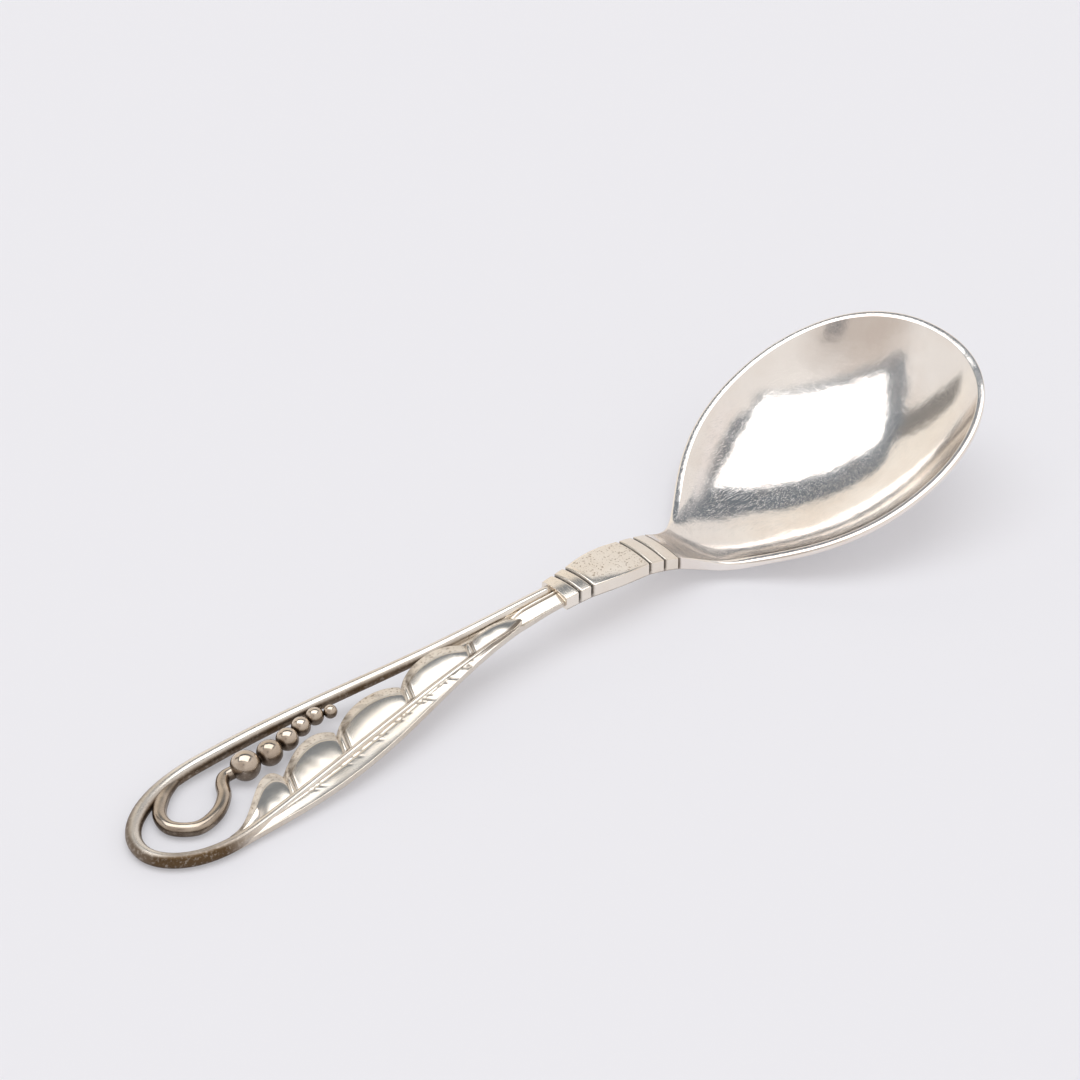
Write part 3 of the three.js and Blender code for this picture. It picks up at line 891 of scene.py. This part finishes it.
@dataclass
class Leaf:
    """The chased leaf: five lobes on one side of the rib and a smooth blade on the other."""

    wire: BentWire
    lap: float = 0.15
    end: float = 91.0
    thickness: float = 1.8
    lean: float = 0.4
    arch: float = 2.2
    border_limit: float = 0.42
    face_lift: float = 0.25
    droop: float = 0.3
    crease_depth: float = 0.25
    lobe_round: float = 0.25
    lobe_unevenness: float = 0.006
    lobes: tuple[LobeShape, ...] = (
        LobeShape(15.0, 30.4, 7.2, 0.05, 0.62, 0.77, 1.45, 2.2, fold=0.0, crease=0.0, dark_start=0.8),
        LobeShape(30.4, 44.4, 8.0, 0.6, 0.68, 0.54, 1.18, 2.2),
        LobeShape(44.4, 61.2, 7.4, 0.55, 0.58, 0.44, 0.95, 2.1),
        LobeShape(61.2, 77.1, 6.5, 0.52, 0.5, 0.41, 0.85, 2.0),
        LobeShape(77.1, 91.0, 3.6, 0.75, 0.05, 0.36, 0.75, 0.8, pitting=0.2, tip_fall=0.7),
    )
    blade_start: float = 14.5
    blade_widest: float = 30.0
    blade_ease: float = 28.0
    blade_round: float = 0.22
    blade_unevenness: float = 0.015
    turn_edge: float = -12.0
    blade_offset: float = -12.1
    tip_offset: float = -2.1
    plate_from: float = 70.0
    plate_to: float = 76.0
    stroke_groups: tuple[float, ...] = (32.6, 38.4, 44.2, 49.4, 55.8, 61.6, 67.2, 73.2)
    stroke_gaps: tuple[float, ...] = (0.0, 1.5, 2.6)
    stroke_width: float = 0.21
    stroke_depth: float = 0.2
    incised_at: float = -0.5
    incised_width: float = 0.13
    incised_depth: float = 0.35
    stem_inner: float = 0.0
    stem_outer: float = -2.9
    stem_ease: float = 31.0
    stem_height: float = 2.3
    gutter_depth: float = 1.4
    gutter_width: float = 0.22

    def lobe_base(self, x: Array) -> Array:
        """Return the line that the lobes stand on: the rib's middle, which ends towards the stem."""
        turned = ease(x, self.wire.rib_end - 2.0, self.end + 0.5)
        return blend(self.wire.edge(Span.RIB, x, 0.0), self.tip_offset, turned)

    def lobe_plan(self, shape: LobeShape, u: Array, v: Array) -> tuple[Array, Array, Array]:
        """Lay a lobe out from above.

        Formula: the outline's height over the rib is an arch that peaks where the shape says and stands on
        two feet, and it ends at the leg where that is nearer.

        Args:
            shape: The lobe.
            u: Shares along the rib, as a column.
            v: Shares from the rib to the edge, as a row.

        Returns:
            Stations and offsets on the grid, and the outline's height at each u.
        """
        skew = np.log(0.5) / np.log(shape.peak)
        foot = blend(shape.foot_start, shape.foot_end, u * u)
        arch = 1.0 - np.abs(2.0 * u ** skew - 1.0) ** self.arch
        rise = shape.crest * blend(foot, 1.0, arch)
        station = blend(shape.start, shape.end + self.lap, u)
        base = self.lobe_base(station)
        rise = rise + self.wire.edge(Span.RIB, station, 1.0) - self.wire.edge(Span.RIB, station, 0.0)
        room = self.wire.edge(Span.LEG, station + self.lean * rise, -1.0) + self.lap - base
        height = np.minimum(rise, room)
        return station + self.lean * height * v, base + height * v, height

    def build_lobe(self, number: int) -> bpy.types.Object:
        """Return one lobe.

        Formula: across the lobe the face climbs from the rib by a power curve to a chased line, beyond which
        a matt border droops to the edge. Along the lobe's start runs a rolled fold with a crease beside it.

        Args:
            number: Place along the leaf, from 0.

        Returns:
            The dressed piece.
        """
        shape = self.lobes[number]
        u = np.linspace(0.0, 1.0, 121)[:, None]
        v = (1.0 - (1.0 - np.linspace(0.0, 1.0, 61)) ** 1.25)[None, :]
        x, y, height = self.lobe_plan(shape, u, v)

        line = 1.0 - np.clip(shape.border / height, 0.0, self.border_limit)
        climb = 1.0 - (1.0 - np.clip(v / line, 0.0, 1.0)) ** 1.6
        swell = (0.35 + 0.65 * np.sin(np.pi * u) ** 0.6) * np.clip(height / 5.5, 0.0, 1.0) ** 0.7
        swell = swell * (1.0 - shape.tip_fall * ease(u, 0.7, 1.0))
        droop = self.droop * np.clip((v - line) / (1.0 - line), 0.0, 1.0) ** 1.3
        reach = ease(v, 0.0, 0.15) * (1.0 - ease(v, 0.8, 1.0))
        fold = shape.fold * bell(u, 0.045, 0.04) * reach
        crease = shape.crease * bell(u, 0.115, 0.022) * (1.0 - ease(v, 0.85, 1.0))
        face = handle_height(x) + self.face_lift + shape.rise * swell * climb - droop
        face = face - 0.05 * bell(v, line, 0.02)
        face = face + fold - self.crease_depth * crease
        face = face + self.lobe_unevenness * waves(grid(x, y, 0.0), 3.0, 40 + number)
        back = handle_height(x) - self.thickness / 2.0
        rings = relief_rings(grid(x, y), face, back, self.lobe_round)

        band = ease(v, line - 0.02, line + 0.05)
        # Painted shade along the chased line, in the crease, beside the rib, beyond the fold, at the first
        # lobe's start and on the wall and back; the patchy darker border is the metal's own tone.
        dark = 0.35 * bell(v, line, 0.03) + 0.6 * crease + 0.9 * (1.0 - ease(height * v, 0.5, 1.1))
        dark = dark + 0.25 * band * ease(waves(grid(x, y, face), 2.5, 60), 0.1, 0.9)
        dark = dark + 0.5 * bell(u, 0.19, 0.07) * ease(v, 0.45, 0.7)
        dark = dark + shape.dark_start * (1.0 - ease(u, 0.02, 0.15))
        masks = {
            Mask.TARNISH_AND_SHADE: relief_mask(rings, dark, 0.35),
            Mask.MATT: relief_mask(rings, shape.pitting * band, 0.4),
        }
        piece = ring_mesh(f"lobe_{number + 1}", rings, masks, (True, True))
        return dress(piece, CHASED, f"leaf_lobe_{number + 1}")

    def blade_inner(self, x: Array) -> Array:
        """Return the blade's edge under the rib, which swings under the last lobes to the leg."""
        leg = self.wire.edge(Span.LEG, x, -1.0) + self.lap
        return blend(self.wire.edge(Span.RIB, x, 0.0), leg, ease(x, self.plate_from, self.plate_to))

    def blade_outline(self) -> list[Sweep]:
        """Return the blade's outer edge: a short start, then one long curve to the collar.

        Returns:
            The two curves.
        """
        start = (self.blade_start, self.turn_edge)
        widest = (self.blade_widest, self.blade_offset)
        span = widest[0] - start[0]
        return [
            Sweep(
                start, (start[0] + 0.45 * span, start[1] + 0.1),
                (start[0] + 0.65 * span, widest[1]), widest,
            ),
            Sweep(
                widest, (widest[0] + self.blade_ease, widest[1]),
                (COLLAR_START - self.stem_ease, self.stem_outer - 0.5), (COLLAR_START, self.stem_outer),
            ),
        ]

    def strokes(self, x: Array, y: Array) -> Array:
        """Return the depth of the chased veins, 0 to 1.

        Formula: each stroke is a bell across its slanting line times a step up and a step down along it. The
        strokes lie in groups down the blade, and sines of their places vary their slant and length.

        Args:
            x: Stations on the blade's grid.
            y: Offsets on the blade's grid.

        Returns:
            An array of the grid's shape.
        """
        starts = (np.array(self.stroke_groups)[:, None] + np.array(self.stroke_gaps)).ravel()[:, None, None]
        inner = self.wire.edge(Span.RIB, starts, 0.0)
        slant = 0.68 + 0.13 * np.sin(2.3 * starts)
        along = (x - starts) * np.cos(slant) - (y - inner) * np.sin(slant)
        across = (x - starts) * np.sin(slant) + (y - inner) * np.cos(slant)
        length = 3.0 + 0.9 * np.sin(3.7 * starts + 1.0)
        stroke = bell(across, 0.0, self.stroke_width) * ease(along, 1.1, 1.6)
        stroke = stroke * (1.0 - ease(along / length, 0.5, 1.1))
        return np.clip(stroke.sum(axis=0), 0.0, 1.0)

    def build_blade(self) -> bpy.types.Object:
        """Return the blade and stem.

        Formula: across the blade the face is a ridge beside the rib and then a slightly hollow slope to the
        outer edge. Near the collar a low plate reaches under the last lobes and the whole becomes a bar with
        a gutter beside the leg and one incised line between a strip and a facet.

        Returns:
            The dressed piece.
        """
        x = np.linspace(self.blade_start, COLLAR_START, 261)[:, None]
        v = np.linspace(0.0, 1.0, 71)[None, :] ** 0.9
        outer = run_over(self.blade_outline(), x)
        y = blend(self.blade_inner(x), outer, v)
        rib = self.wire.edge(Span.RIB, x, 0.0)
        share = np.clip((rib - y) / np.maximum(rib - outer, 0.3), 0.0, 1.0)
        x = np.broadcast_to(x, y.shape)

        stem = ease(x, self.wire.rib_end, self.end + 2.5)
        leaf = 0.15 + 0.6 * ease(share, 0.08, 0.27) - 0.1 * bell(share, 0.36, 0.05)
        leaf = leaf - 0.42 * ease(share, 0.3, 1.1)
        leaf = blend(0.1, leaf, ease(x, self.blade_start, self.blade_start + 11.0))
        leaf = blend(leaf, -0.35, ease(y - rib, 0.2, 0.6))
        stroke = self.strokes(x, y) * (1.0 - stem) * blend(0.4, 1.0, ease(x, 48.0, 64.0))
        incised = stem * bell(y, self.incised_at, self.incised_width)
        bar = 0.8 - 0.9 * np.clip((self.stem_inner - y) / (self.stem_inner - self.stem_outer), 0.0, 1.0)
        bar = bar - self.gutter_depth * ease(y, self.stem_inner, self.stem_inner + self.gutter_width)
        face = handle_height(x) + blend(leaf, bar, stem)
        face = face - self.stroke_depth * stroke - self.incised_depth * incised
        face = face + self.blade_unevenness * waves(grid(x, y, 0.0), 4.0, 71)
        back = handle_height(x) - blend(self.thickness, self.stem_height, stem) / 2.0
        back = back + 0.15 * ease(y - rib, 0.1, 0.5) * (1.0 - stem)
        rings = relief_rings(grid(x, y), face, back, self.blade_round)

        # Painted shade in the strokes, in the incised line, beside the rib and on the wall and back.
        root = 1.0 - ease(np.abs(y - rib), 0.55, 0.95)
        dark = 0.85 * stroke + 0.85 * incised + 0.8 * root * (1.0 - stem)
        masks = {
            Mask.TARNISH_AND_SHADE: relief_mask(rings, dark, 0.22),
            Mask.MATT: relief_mask(rings, np.full(y.shape, 0.08), 0.3),
        }
        piece = ring_mesh("blade_and_stem", rings, masks, (True, True))
        return dress(piece, CHASED, "leaf_blade")

    def build(self) -> list[bpy.types.Object]:
        """Return the five lobes and the blade."""
        return [self.build_lobe(number) for number in range(len(self.lobes))] + [self.build_blade()]


# Bowl and collar


@dataclass
class Bowl:
    """The beaten bowl with its shank, rim land and worn underside."""

    length: float = 75.7
    width: float = 54.9
    widest_from_tip: float = 29.1
    tip_fullness: float = 19.5
    shank_width: float = 10.25
    collar_height: float = 2.6
    crown: float = 0.5
    land: float = 1.5
    shank_land: float = 0.3
    edge: float = 1.0
    edge_fall: float = 0.28
    edge_bulge: float = 0.10
    wall: float = 1.2
    worn: float = 0.12
    rest_from_seam: float = 27.0
    rest_ease: float = 16.0
    heel_from_seam: float = 9.9
    heel_height: float = 2.2
    neck_slope: float = -0.53
    rim_slope: float = 0.358
    heel_bend: float = 1.6
    seam_inset: tuple[float, float] = (0.4, 0.15)

    def rim_height(self, x: Array) -> Array:
        """Return the rim's height: the upper branch of the hyperbola between neck and rim slopes.

        Args:
            x: Stations.

        Returns:
            The height at each station.
        """
        run = np.asarray(x, float) - SEAM - self.heel_from_seam
        neck = self.heel_height + self.neck_slope * run
        rim = self.heel_height + self.rim_slope * run
        return (neck + rim) / 2.0 + np.hypot((neck - rim) / 2.0, self.heel_bend)

    def outline(self) -> list[Sweep]:
        """Return the rim's outline from above: shank to widest, widest to tip.

        Returns:
            The two curves.
        """
        tip = SEAM + self.length
        widest = tip - self.widest_from_tip
        half = self.width / 2.0
        shank = self.shank_width / 2.0
        return [
            Sweep((SEAM, shank), (SEAM + 14.0, shank), (widest - 27.0, half), (widest, half)),
            Sweep((widest, half), (widest + 13.8, half), (tip, self.tip_fullness), (tip, 0.0)),
        ]

    def keel(self, seam: float, neck: Point, low: float, end: Point) -> list[Sweep]:
        """Return the line of deepest points from the seam to the tip.

        Args:
            seam: Height at the seam.
            neck: Length of the first handle and the fall over it.
            low: Height where the bowl rests.
            end: Station and height of the tip's end.

        Returns:
            Two curves that meet where the bowl rests.
        """
        rest = SEAM + self.rest_from_seam
        before, after = rest - self.rest_ease, rest + self.rest_ease
        return [
            Sweep((SEAM, seam), (SEAM + neck[0], seam - neck[1]), (before, low), (rest, low)),
            Sweep((rest, low), (after, low), (end[0] - 12.0, end[1] - 17.0), end),
        ]

    def keels(self) -> tuple[list[Sweep], list[Sweep]]:
        """Return the keel of the face and that of the back.

        Returns:
            Two runs of curves.
        """
        tip = SEAM + self.length
        face_end = tip - self.land
        seam = float(self.rim_height(SEAM))
        face_tip = (face_end, float(self.rim_height(face_end)))
        back_tip = (tip, float(self.rim_height(tip)) - self.edge)
        face = self.keel(seam + self.crown, (5.3, 4.2), self.wall - self.worn, face_tip)
        back = self.keel(seam - self.collar_height, (10.0, 5.3), -self.worn, back_tip)
        return face, back

    def build(self) -> bpy.types.Object:
        """Return the bowl.

        Formula: at each point of the rim's outline a section is drawn: from the keel the face climbs by
        0.7 t squared plus 0.3 t to the fourth, then come the rounded land, the outer edge and a back that
        climbs the same way. The section is mirrored in the spoon's middle plane.

        Returns:
            The dressed piece.
        """
        spans = self.outline()
        first = np.concatenate([[0.0, 0.002, 0.006], np.linspace(0.012, 1.0, 110)])
        second = np.sin(np.linspace(0.0, np.pi / 2.0, 91))[1:]
        plan = np.concatenate([spans[0].at(first), spans[1].at(second)])
        heading = np.concatenate([spans[0].heading(first), spans[1].heading(second)])
        inset = np.zeros((len(plan), 1))
        inset[:2, 0] = self.seam_inset
        x, half = plan[:, :1], plan[:, 1:] - inset
        land = blend(self.shank_land, self.land, ease(x, SEAM, SEAM + 14.0))
        inner_x = x + land * heading[:, 1:]
        inner_y = half - land * heading[:, :1]
        face_keel, back_keel = self.keels()

        v = np.sin(np.linspace(0.0, np.pi / 2.0, 56))[None, :]
        climb = 0.7 * v ** 2 + 0.3 * v ** 4
        rim_in = self.rim_height(inner_x)
        face = grid(inner_x, inner_y * v, blend(run_over(face_keel, inner_x), rim_in, climb) - inset)

        rim_out = self.rim_height(x) - inset
        w = np.array([0.12, 0.3, 0.5, 0.7, 0.84, 0.94, 1.0])[None, :]
        roll = 0.07 * np.sin(np.pi * np.clip(w, 0.0, 0.8))
        roll = roll - self.edge_fall * np.clip((w - 0.75) / 0.25, 0.0, 1.0) ** 2
        flat = grid(
            blend(inner_x, x, w), blend(inner_y, half, w), blend(rim_in - inset, rim_out, w) + roll,
        )

        thick = blend(self.collar_height, self.edge, ease(x, SEAM, SEAM + 17.0))
        low = self.rim_height(x) - thick
        drop = np.array([0.2, 0.5, 0.8, 0.95])[None, :]
        bulge = self.edge_bulge * np.sin(np.pi * drop)
        side = grid(x, half + bulge, blend(rim_out - self.edge_fall, low, drop))

        back_v = v[:, ::-2]
        back_climb = climb[:, ::-2]
        under = np.maximum(blend(run_over(back_keel, x), low, back_climb), 0.0)
        back = grid(x, half * back_v, under)
        right = np.concatenate([face, flat, side, back], axis=1)
        right[-1, :, 1] = 0.0
        left = right[:, ::-1] * MIRROR
        rings = np.concatenate([right, left[:, 1:-1]], axis=1)
        masks = self.masks(rings, right.shape[1] - back.shape[1], right.shape[1])
        piece = ring_mesh("beaten_bowl", rings, masks, (True, False))
        return dress(piece, POLISHED, "bowl")

    def masks(self, rings: Array, fronted: int, half: int) -> dict[Mask, Array]:
        """Return the bowl's masks: painted shade in the seam's groove, a slightly darker back, and a dull,
        worn back.

        Args:
            rings: The bowl's rings.
            fronted: Points of a half section before its back starts.
            half: Points of a half section.

        Returns:
            The two masks.
        """
        place = np.arange(rings.shape[1])
        place = np.where(place < half, place, 2 * half - 2 - place)
        backed = (place >= fronted).astype(float)[None, :]
        seam = 1.0 - ease(rings[..., 0], SEAM + 0.1, SEAM + 0.45)
        return {Mask.TARNISH_AND_SHADE: 0.95 * seam + 0.1 * backed, Mask.MATT: 0.25 * backed}


@dataclass
class Collar:
    """The filed block between handle and bowl."""

    bowl: Bowl
    height: float = 2.6
    crown: float = 0.5
    top: float = 10.5
    top_rise: float = 0.75
    seam_ease: float = 8.5
    seam_slope: float = 0.36
    end_width: float = 7.3
    panel_handle: float = 8.15
    panel_bowl: float = 9.7
    bulge: float = 1.25
    handle_grooves: tuple[float, ...] = (3.1, 6.05)
    bowl_grooves: tuple[float, ...] = (7.2, 3.45)
    groove_depth: float = 0.55
    groove_width: float = 0.3
    seam_width: float = 0.25
    skew: float = 0.05
    corner: float = 0.25

    def half_width(self, x: Array) -> Array:
        """Return half the width: two tapers and between them a panel that bulges by a half sine.

        Args:
            x: Stations.

        Returns:
            Half the collar's width at each station.
        """
        start = COLLAR_START + self.handle_grooves[1]
        end = SEAM - self.bowl_grooves[0]
        share = np.clip((x - start) / (end - start), 0.0, 1.0)
        panel = blend(self.panel_handle, self.panel_bowl, share) + self.bulge * np.sin(np.pi * share)
        before = blend(self.end_width, self.panel_handle, (x - COLLAR_START) / (start - COLLAR_START))
        after = blend(self.panel_bowl, self.bowl.shank_width, (x - end) / (SEAM - end))
        return np.where(x < start, before, np.where(x > end, after, panel)) / 2.0

    def top_line(self) -> Sweep:
        """Return the upper edge from the side."""
        seam = float(self.bowl.rim_height(SEAM))
        return Sweep(
            (COLLAR_START, self.top), (COLLAR_START + 10.8, self.top + self.top_rise),
            (SEAM - self.seam_ease, seam + self.seam_slope * self.seam_ease), (SEAM, seam),
        )

    def section(self) -> Array:
        """Return half of the section's outline.

        Formula: a crowned top, a quarter circle at each upper corner, upright sides and a level underside.

        Returns:
            Four rows: the share of the half width, the share of the corner's radius that a point lies inside
            the side and that it lies below the top, and the share of the height below the corner.
        """
        turn = np.linspace(0.0, np.pi / 2.0, 9)
        top, corner, side, under = 25, len(turn), 7, 8
        across = np.concatenate([
            np.linspace(0.0, 1.0, top + 1)[:-1], np.ones(corner + side), np.linspace(1.0, 0.0, under + 1)[1:],
        ])
        inward = np.concatenate([np.ones(top), 1.0 - np.sin(turn), np.zeros(side + under)])
        fall = np.concatenate([np.zeros(top), 1.0 - np.cos(turn), np.ones(side + under)])
        down = np.concatenate([np.zeros(top + corner), np.linspace(0.15, 1.0, side), np.ones(under)])
        return np.stack([across, inward, fall, down])

    def grooves(self, rings: Array) -> Array:
        """Return the share of the grooves' depth at each point: a bell across each slanting line.

        Args:
            rings: The collar's rings before filing.

        Returns:
            A value from 0 to 1 for each point, which is also 1 at the solder seam.
        """
        x, y = rings[..., 0], rings[..., 1]
        near_handle = COLLAR_START + np.array(self.handle_grooves)
        near_bowl = SEAM - np.array(self.bowl_grooves)
        lines = np.concatenate([near_handle, near_bowl])[:, None, None]
        slant = self.skew * (1.0 - ease(x, COLLAR_START + 8.0, SEAM - 8.0))
        away = x - lines + slant * y
        cut = np.exp(-np.abs(away / self.groove_width) ** 2.5).max(axis=0)
        seam = np.clip((x - (SEAM - self.seam_width)) / self.seam_width, 0.0, 1.0)
        return np.maximum(cut, seam)

    def build(self) -> bpy.types.Object:
        """Return the collar: the section carried along it and filed in along each slanting groove.

        Returns:
            The dressed piece.
        """
        x = np.linspace(COLLAR_START, SEAM, 421)[:, None]
        across, inward, fall, down = (row[None, :] for row in self.section())
        half = self.half_width(x)
        flat = np.where(across >= 1.0, half - self.corner * inward, across * (half - self.corner))
        flat = np.where(down >= 1.0, across * half, flat)
        edge = self.top_line().over(x)
        z = edge + self.crown * (1.0 - (flat / half) ** 2) * (down < 0.01) - self.corner * fall
        z = np.where(down > 0.0, blend(edge - self.corner, edge - self.height, down), z)
        right = grid(x, flat, z)
        left = right[:, ::-1] * MIRROR
        rings = np.concatenate([right, left[:, 1:-1]], axis=1)
        low = np.concatenate([down[0], down[0][::-1][1:-1]])[None, :]

        cut = self.grooves(rings) * (low < 0.97)
        middle = UP * (edge - self.height / 2.0)[..., None]
        toward = rings - np.array([1.0, 0.0, 0.0]) * rings[..., :1] - middle
        toward /= np.linalg.norm(toward, axis=-1, keepdims=True)
        rings = rings - toward * (self.groove_depth * cut)[..., None]

        panel = ease(x, COLLAR_START + 6.9, COLLAR_START + 7.6) * (1.0 - ease(x, SEAM - 7.9, SEAM - 7.2))
        level = (low < 0.01) * (np.abs(rings[..., 1]) < half - 0.5)
        dulled = ease(rings[..., 1] + 0.35 * (x - COLLAR_START - 7.0), -3.2, -1.2)
        matt = level * (0.1 + 0.8 * panel * dulled) + 0.05
        # The grooves and the seam get painted shade through the cut share.
        piece = ring_mesh("filed_collar", rings, {Mask.TARNISH_AND_SHADE: cut, Mask.MATT: matt}, (True, True))
        return dress(piece, FILED, "neck_collar")


# Studio


@dataclass(frozen=True)
class Card:
    """A rectangle of light or shade far away in the studio, on a plane one step off in some direction.

    Shear and taper move and widen the card up as it goes across, and lean moves it across as it goes up.
    """

    azimuth: float
    elevation: float
    middle: Point
    half: Point
    colour: Colour
    soft: float = 0.04
    shear: float = 0.0
    taper: float = 0.0
    lean: float = 0.0

    def axes(self) -> Array:
        """Return unit vectors towards the card's plane, across it and up it.

        Returns:
            The three vectors as rows.
        """
        azimuth, elevation = np.radians((self.azimuth, self.elevation))
        level = np.cos(elevation)
        out = np.array([level * np.cos(azimuth), level * np.sin(azimuth), np.sin(elevation)])
        across = np.array([-np.sin(azimuth), np.cos(azimuth), 0.0])
        return np.stack([out, across, np.cross(out, across)])

    def mask(self, sheet: NodeSheet, way: Socket) -> Socket:
        """Return 1 inside the card and 0 outside it.

        Formula: the direction is divided by its part towards the card, and the parts across and up are each
        compared with the card's half sizes through a soft step.

        Args:
            sheet: The world's nodes.
            way: The direction that is looked in.

        Returns:
            The mask.
        """
        out, across, up = (sheet.along(way, axis) for axis in self.axes())
        front = sheet.sum(Sum.MAXIMUM, out, 1e-3)
        inside = sheet.sum(Sum.GREATER, out, 1e-3)
        across, up = (
            sheet.sum(Sum.SUBTRACT, sheet.sum(Sum.DIVIDE, part, front), middle)
            for part, middle in zip((across, up), self.middle)
        )
        slide = sheet.sum(Sum.MULTIPLY, up, self.lean)
        shift = sheet.sum(Sum.MULTIPLY, across, self.shear)
        spread = sheet.sum(Sum.MULTIPLY, across, self.taper)
        sideways = sheet.sum(Sum.ABSOLUTE, sheet.sum(Sum.SUBTRACT, across, slide))
        upright = sheet.sum(Sum.ABSOLUTE, sheet.sum(Sum.SUBTRACT, up, shift))
        upright = sheet.sum(Sum.SUBTRACT, upright, spread)
        for share, half in zip((sideways, upright), self.half):
            step = sheet.step(share, half + self.soft, half - self.soft)
            inside = sheet.sum(Sum.MULTIPLY, inside, step)
        return inside


@dataclass
class Studio:
    """Pale floor, soft light from all round and the camera."""

    floor_half: float = 1.5
    floor_drop: float = 1e-5
    floor_colour: Colour = (0.52, 0.52, 0.54)
    floor_glow: Colour = (0.296, 0.296, 0.312)
    tent: Colour = (0.85, 0.815, 0.79)
    cards: tuple[Card, ...] = (
        Card(75.0, 25.0, (0.1, 0.1), (0.6, 0.4), (0.95, 0.89, 0.81), 0.25),
        Card(190.0, 38.0, (0.0, 0.0), (0.55, 0.45), (0.615, 0.565, 0.535), 0.3),
        Card(109.0, 32.0, (0.0, 0.0), (0.11, 0.28), (0.22, 0.21, 0.20), 0.05),
        Card(213.0, 42.0, (0.0, 0.0), (0.10, 0.09), (0.25, 0.25, 0.26), 0.06),
        Card(229.2, 90.0, (-0.085, 0.378), (1.0, 0.732), (0.185, 0.21, 0.24), 0.07, -0.0575, 0.0575, 0.4),
        Card(229.2, 90.0, (0.95, 0.25), (0.15, 0.6), (0.90, 0.87, 0.87), 0.2),
        Card(229.2, 90.0, (0.64, -0.33), (0.14, 0.1), (0.86, 0.82, 0.79), 0.08),
        Card(229.2, 90.0, (-0.16, 0.15), (0.70, 0.42), (2.2, 2.2, 2.22), 0.05, -0.105, 0.105, 0.25),
    )
    camera_right: Colour = (0.75651925, -0.65397143, 0.0)
    camera_up: Colour = (0.38439476, 0.44467086, 0.80901699)
    camera_ahead: Colour = (0.529074, 0.61203693, -0.58778525)
    camera_place: Colour = (-350.8675, -518.7713, 522.2941)
    focal_length: float = 150.0

    def floor(self) -> None:
        """Make the pale floor, which catches the shadow and glows a little where it is seen."""
        u = np.linspace(-self.floor_half, self.floor_half, 13)
        x, y = np.meshgrid(u, u, indexing="ij")
        index = np.arange(x.size).reshape(x.shape)
        quads = np.stack([index[:-1, :-1], index[1:, :-1], index[1:, 1:], index[:-1, 1:]], axis=-1)
        mesh = bpy.data.meshes.new("studio_floor")
        places = grid(x, y, -self.floor_drop).reshape(-1, 3)
        mesh.from_pydata(places.tolist(), [], quads.reshape(-1, 4).tolist())
        floor = bpy.data.objects.new("studio_floor", mesh)
        bpy.context.scene.collection.objects.link(floor)

        material = bpy.data.materials.new("studio_paper")
        material.use_nodes = True
        sheet = NodeSheet(material.node_tree)
        path = sheet.node("ShaderNodeLightPath", {})
        seen = path.outputs["Is Camera Ray"]
        for kind in ("Is Glossy Ray", "Is Transmission Ray"):
            seen = sheet.sum(Sum.MAXIMUM, seen, path.outputs[kind])
        values = {
            "Base Color": (*self.floor_colour, 1.0), "Roughness": 0.9, "Specular IOR Level": 0.1,
            "Emission Color": (*self.floor_glow, 1.0), "Emission Strength": seen,
        }
        sheet.show(sheet.node("ShaderNodeBsdfPrincipled", values), "ShaderNodeOutputMaterial")
        mesh.materials.append(material)

    def light(self) -> None:
        """Light the scene by a pale tent with one bright overhead card in a dark frame and lesser cards."""
        world = bpy.data.worlds.new("studio_tent")
        world.use_nodes = True
        bpy.context.scene.world = world
        sheet = NodeSheet(world.node_tree)
        way = sheet.coordinates("Generated")
        colour: object = self.tent
        for card in self.cards:
            colour = sheet.colour(card.mask(sheet, way), colour, card.colour)
        sheet.show(sheet.node("ShaderNodeBackground", {"Color": colour}), "ShaderNodeOutputWorld")

    def camera(self) -> None:
        """Set the camera where the photograph was taken."""
        lens = bpy.data.cameras.new("photo_camera")
        lens.lens = self.focal_length
        lens.sensor_width = 36.0
        lens.clip_start = 0.01
        lens.clip_end = 20.0
        camera = bpy.data.objects.new("photo_camera", lens)
        place = (np.array(self.camera_place) - np.array([LENGTH / 2.0, 0.0, 0.0])) * MM
        pose = np.eye(4)
        pose[:3] = np.column_stack([self.camera_right, self.camera_up, -np.array(self.camera_ahead), place])
        camera.matrix_world = Matrix(pose.tolist())
        bpy.context.scene.collection.objects.link(camera)
        bpy.context.scene.camera = camera

    def build(self) -> None:
        """Make floor, light and camera."""
        bpy.context.scene.view_settings.view_transform = "Standard"
        self.camera()
        self.floor()
        self.light()


def main() -> None:
    """Build the studio and every piece of the spoon in order."""
    logging.basicConfig(level=logging.INFO, format="%(name)s: %(message)s")
    Studio().build()
    wire = BentWire()
    wire.build()
    tendril = Tendril(wire)
    tendril.build()
    BeadRow(tendril.root()).build()
    Leaf(wire).build()
    bowl = Bowl()
    bowl.build()
    Collar(bowl).build()


if __name__ == "__main__":
    main()
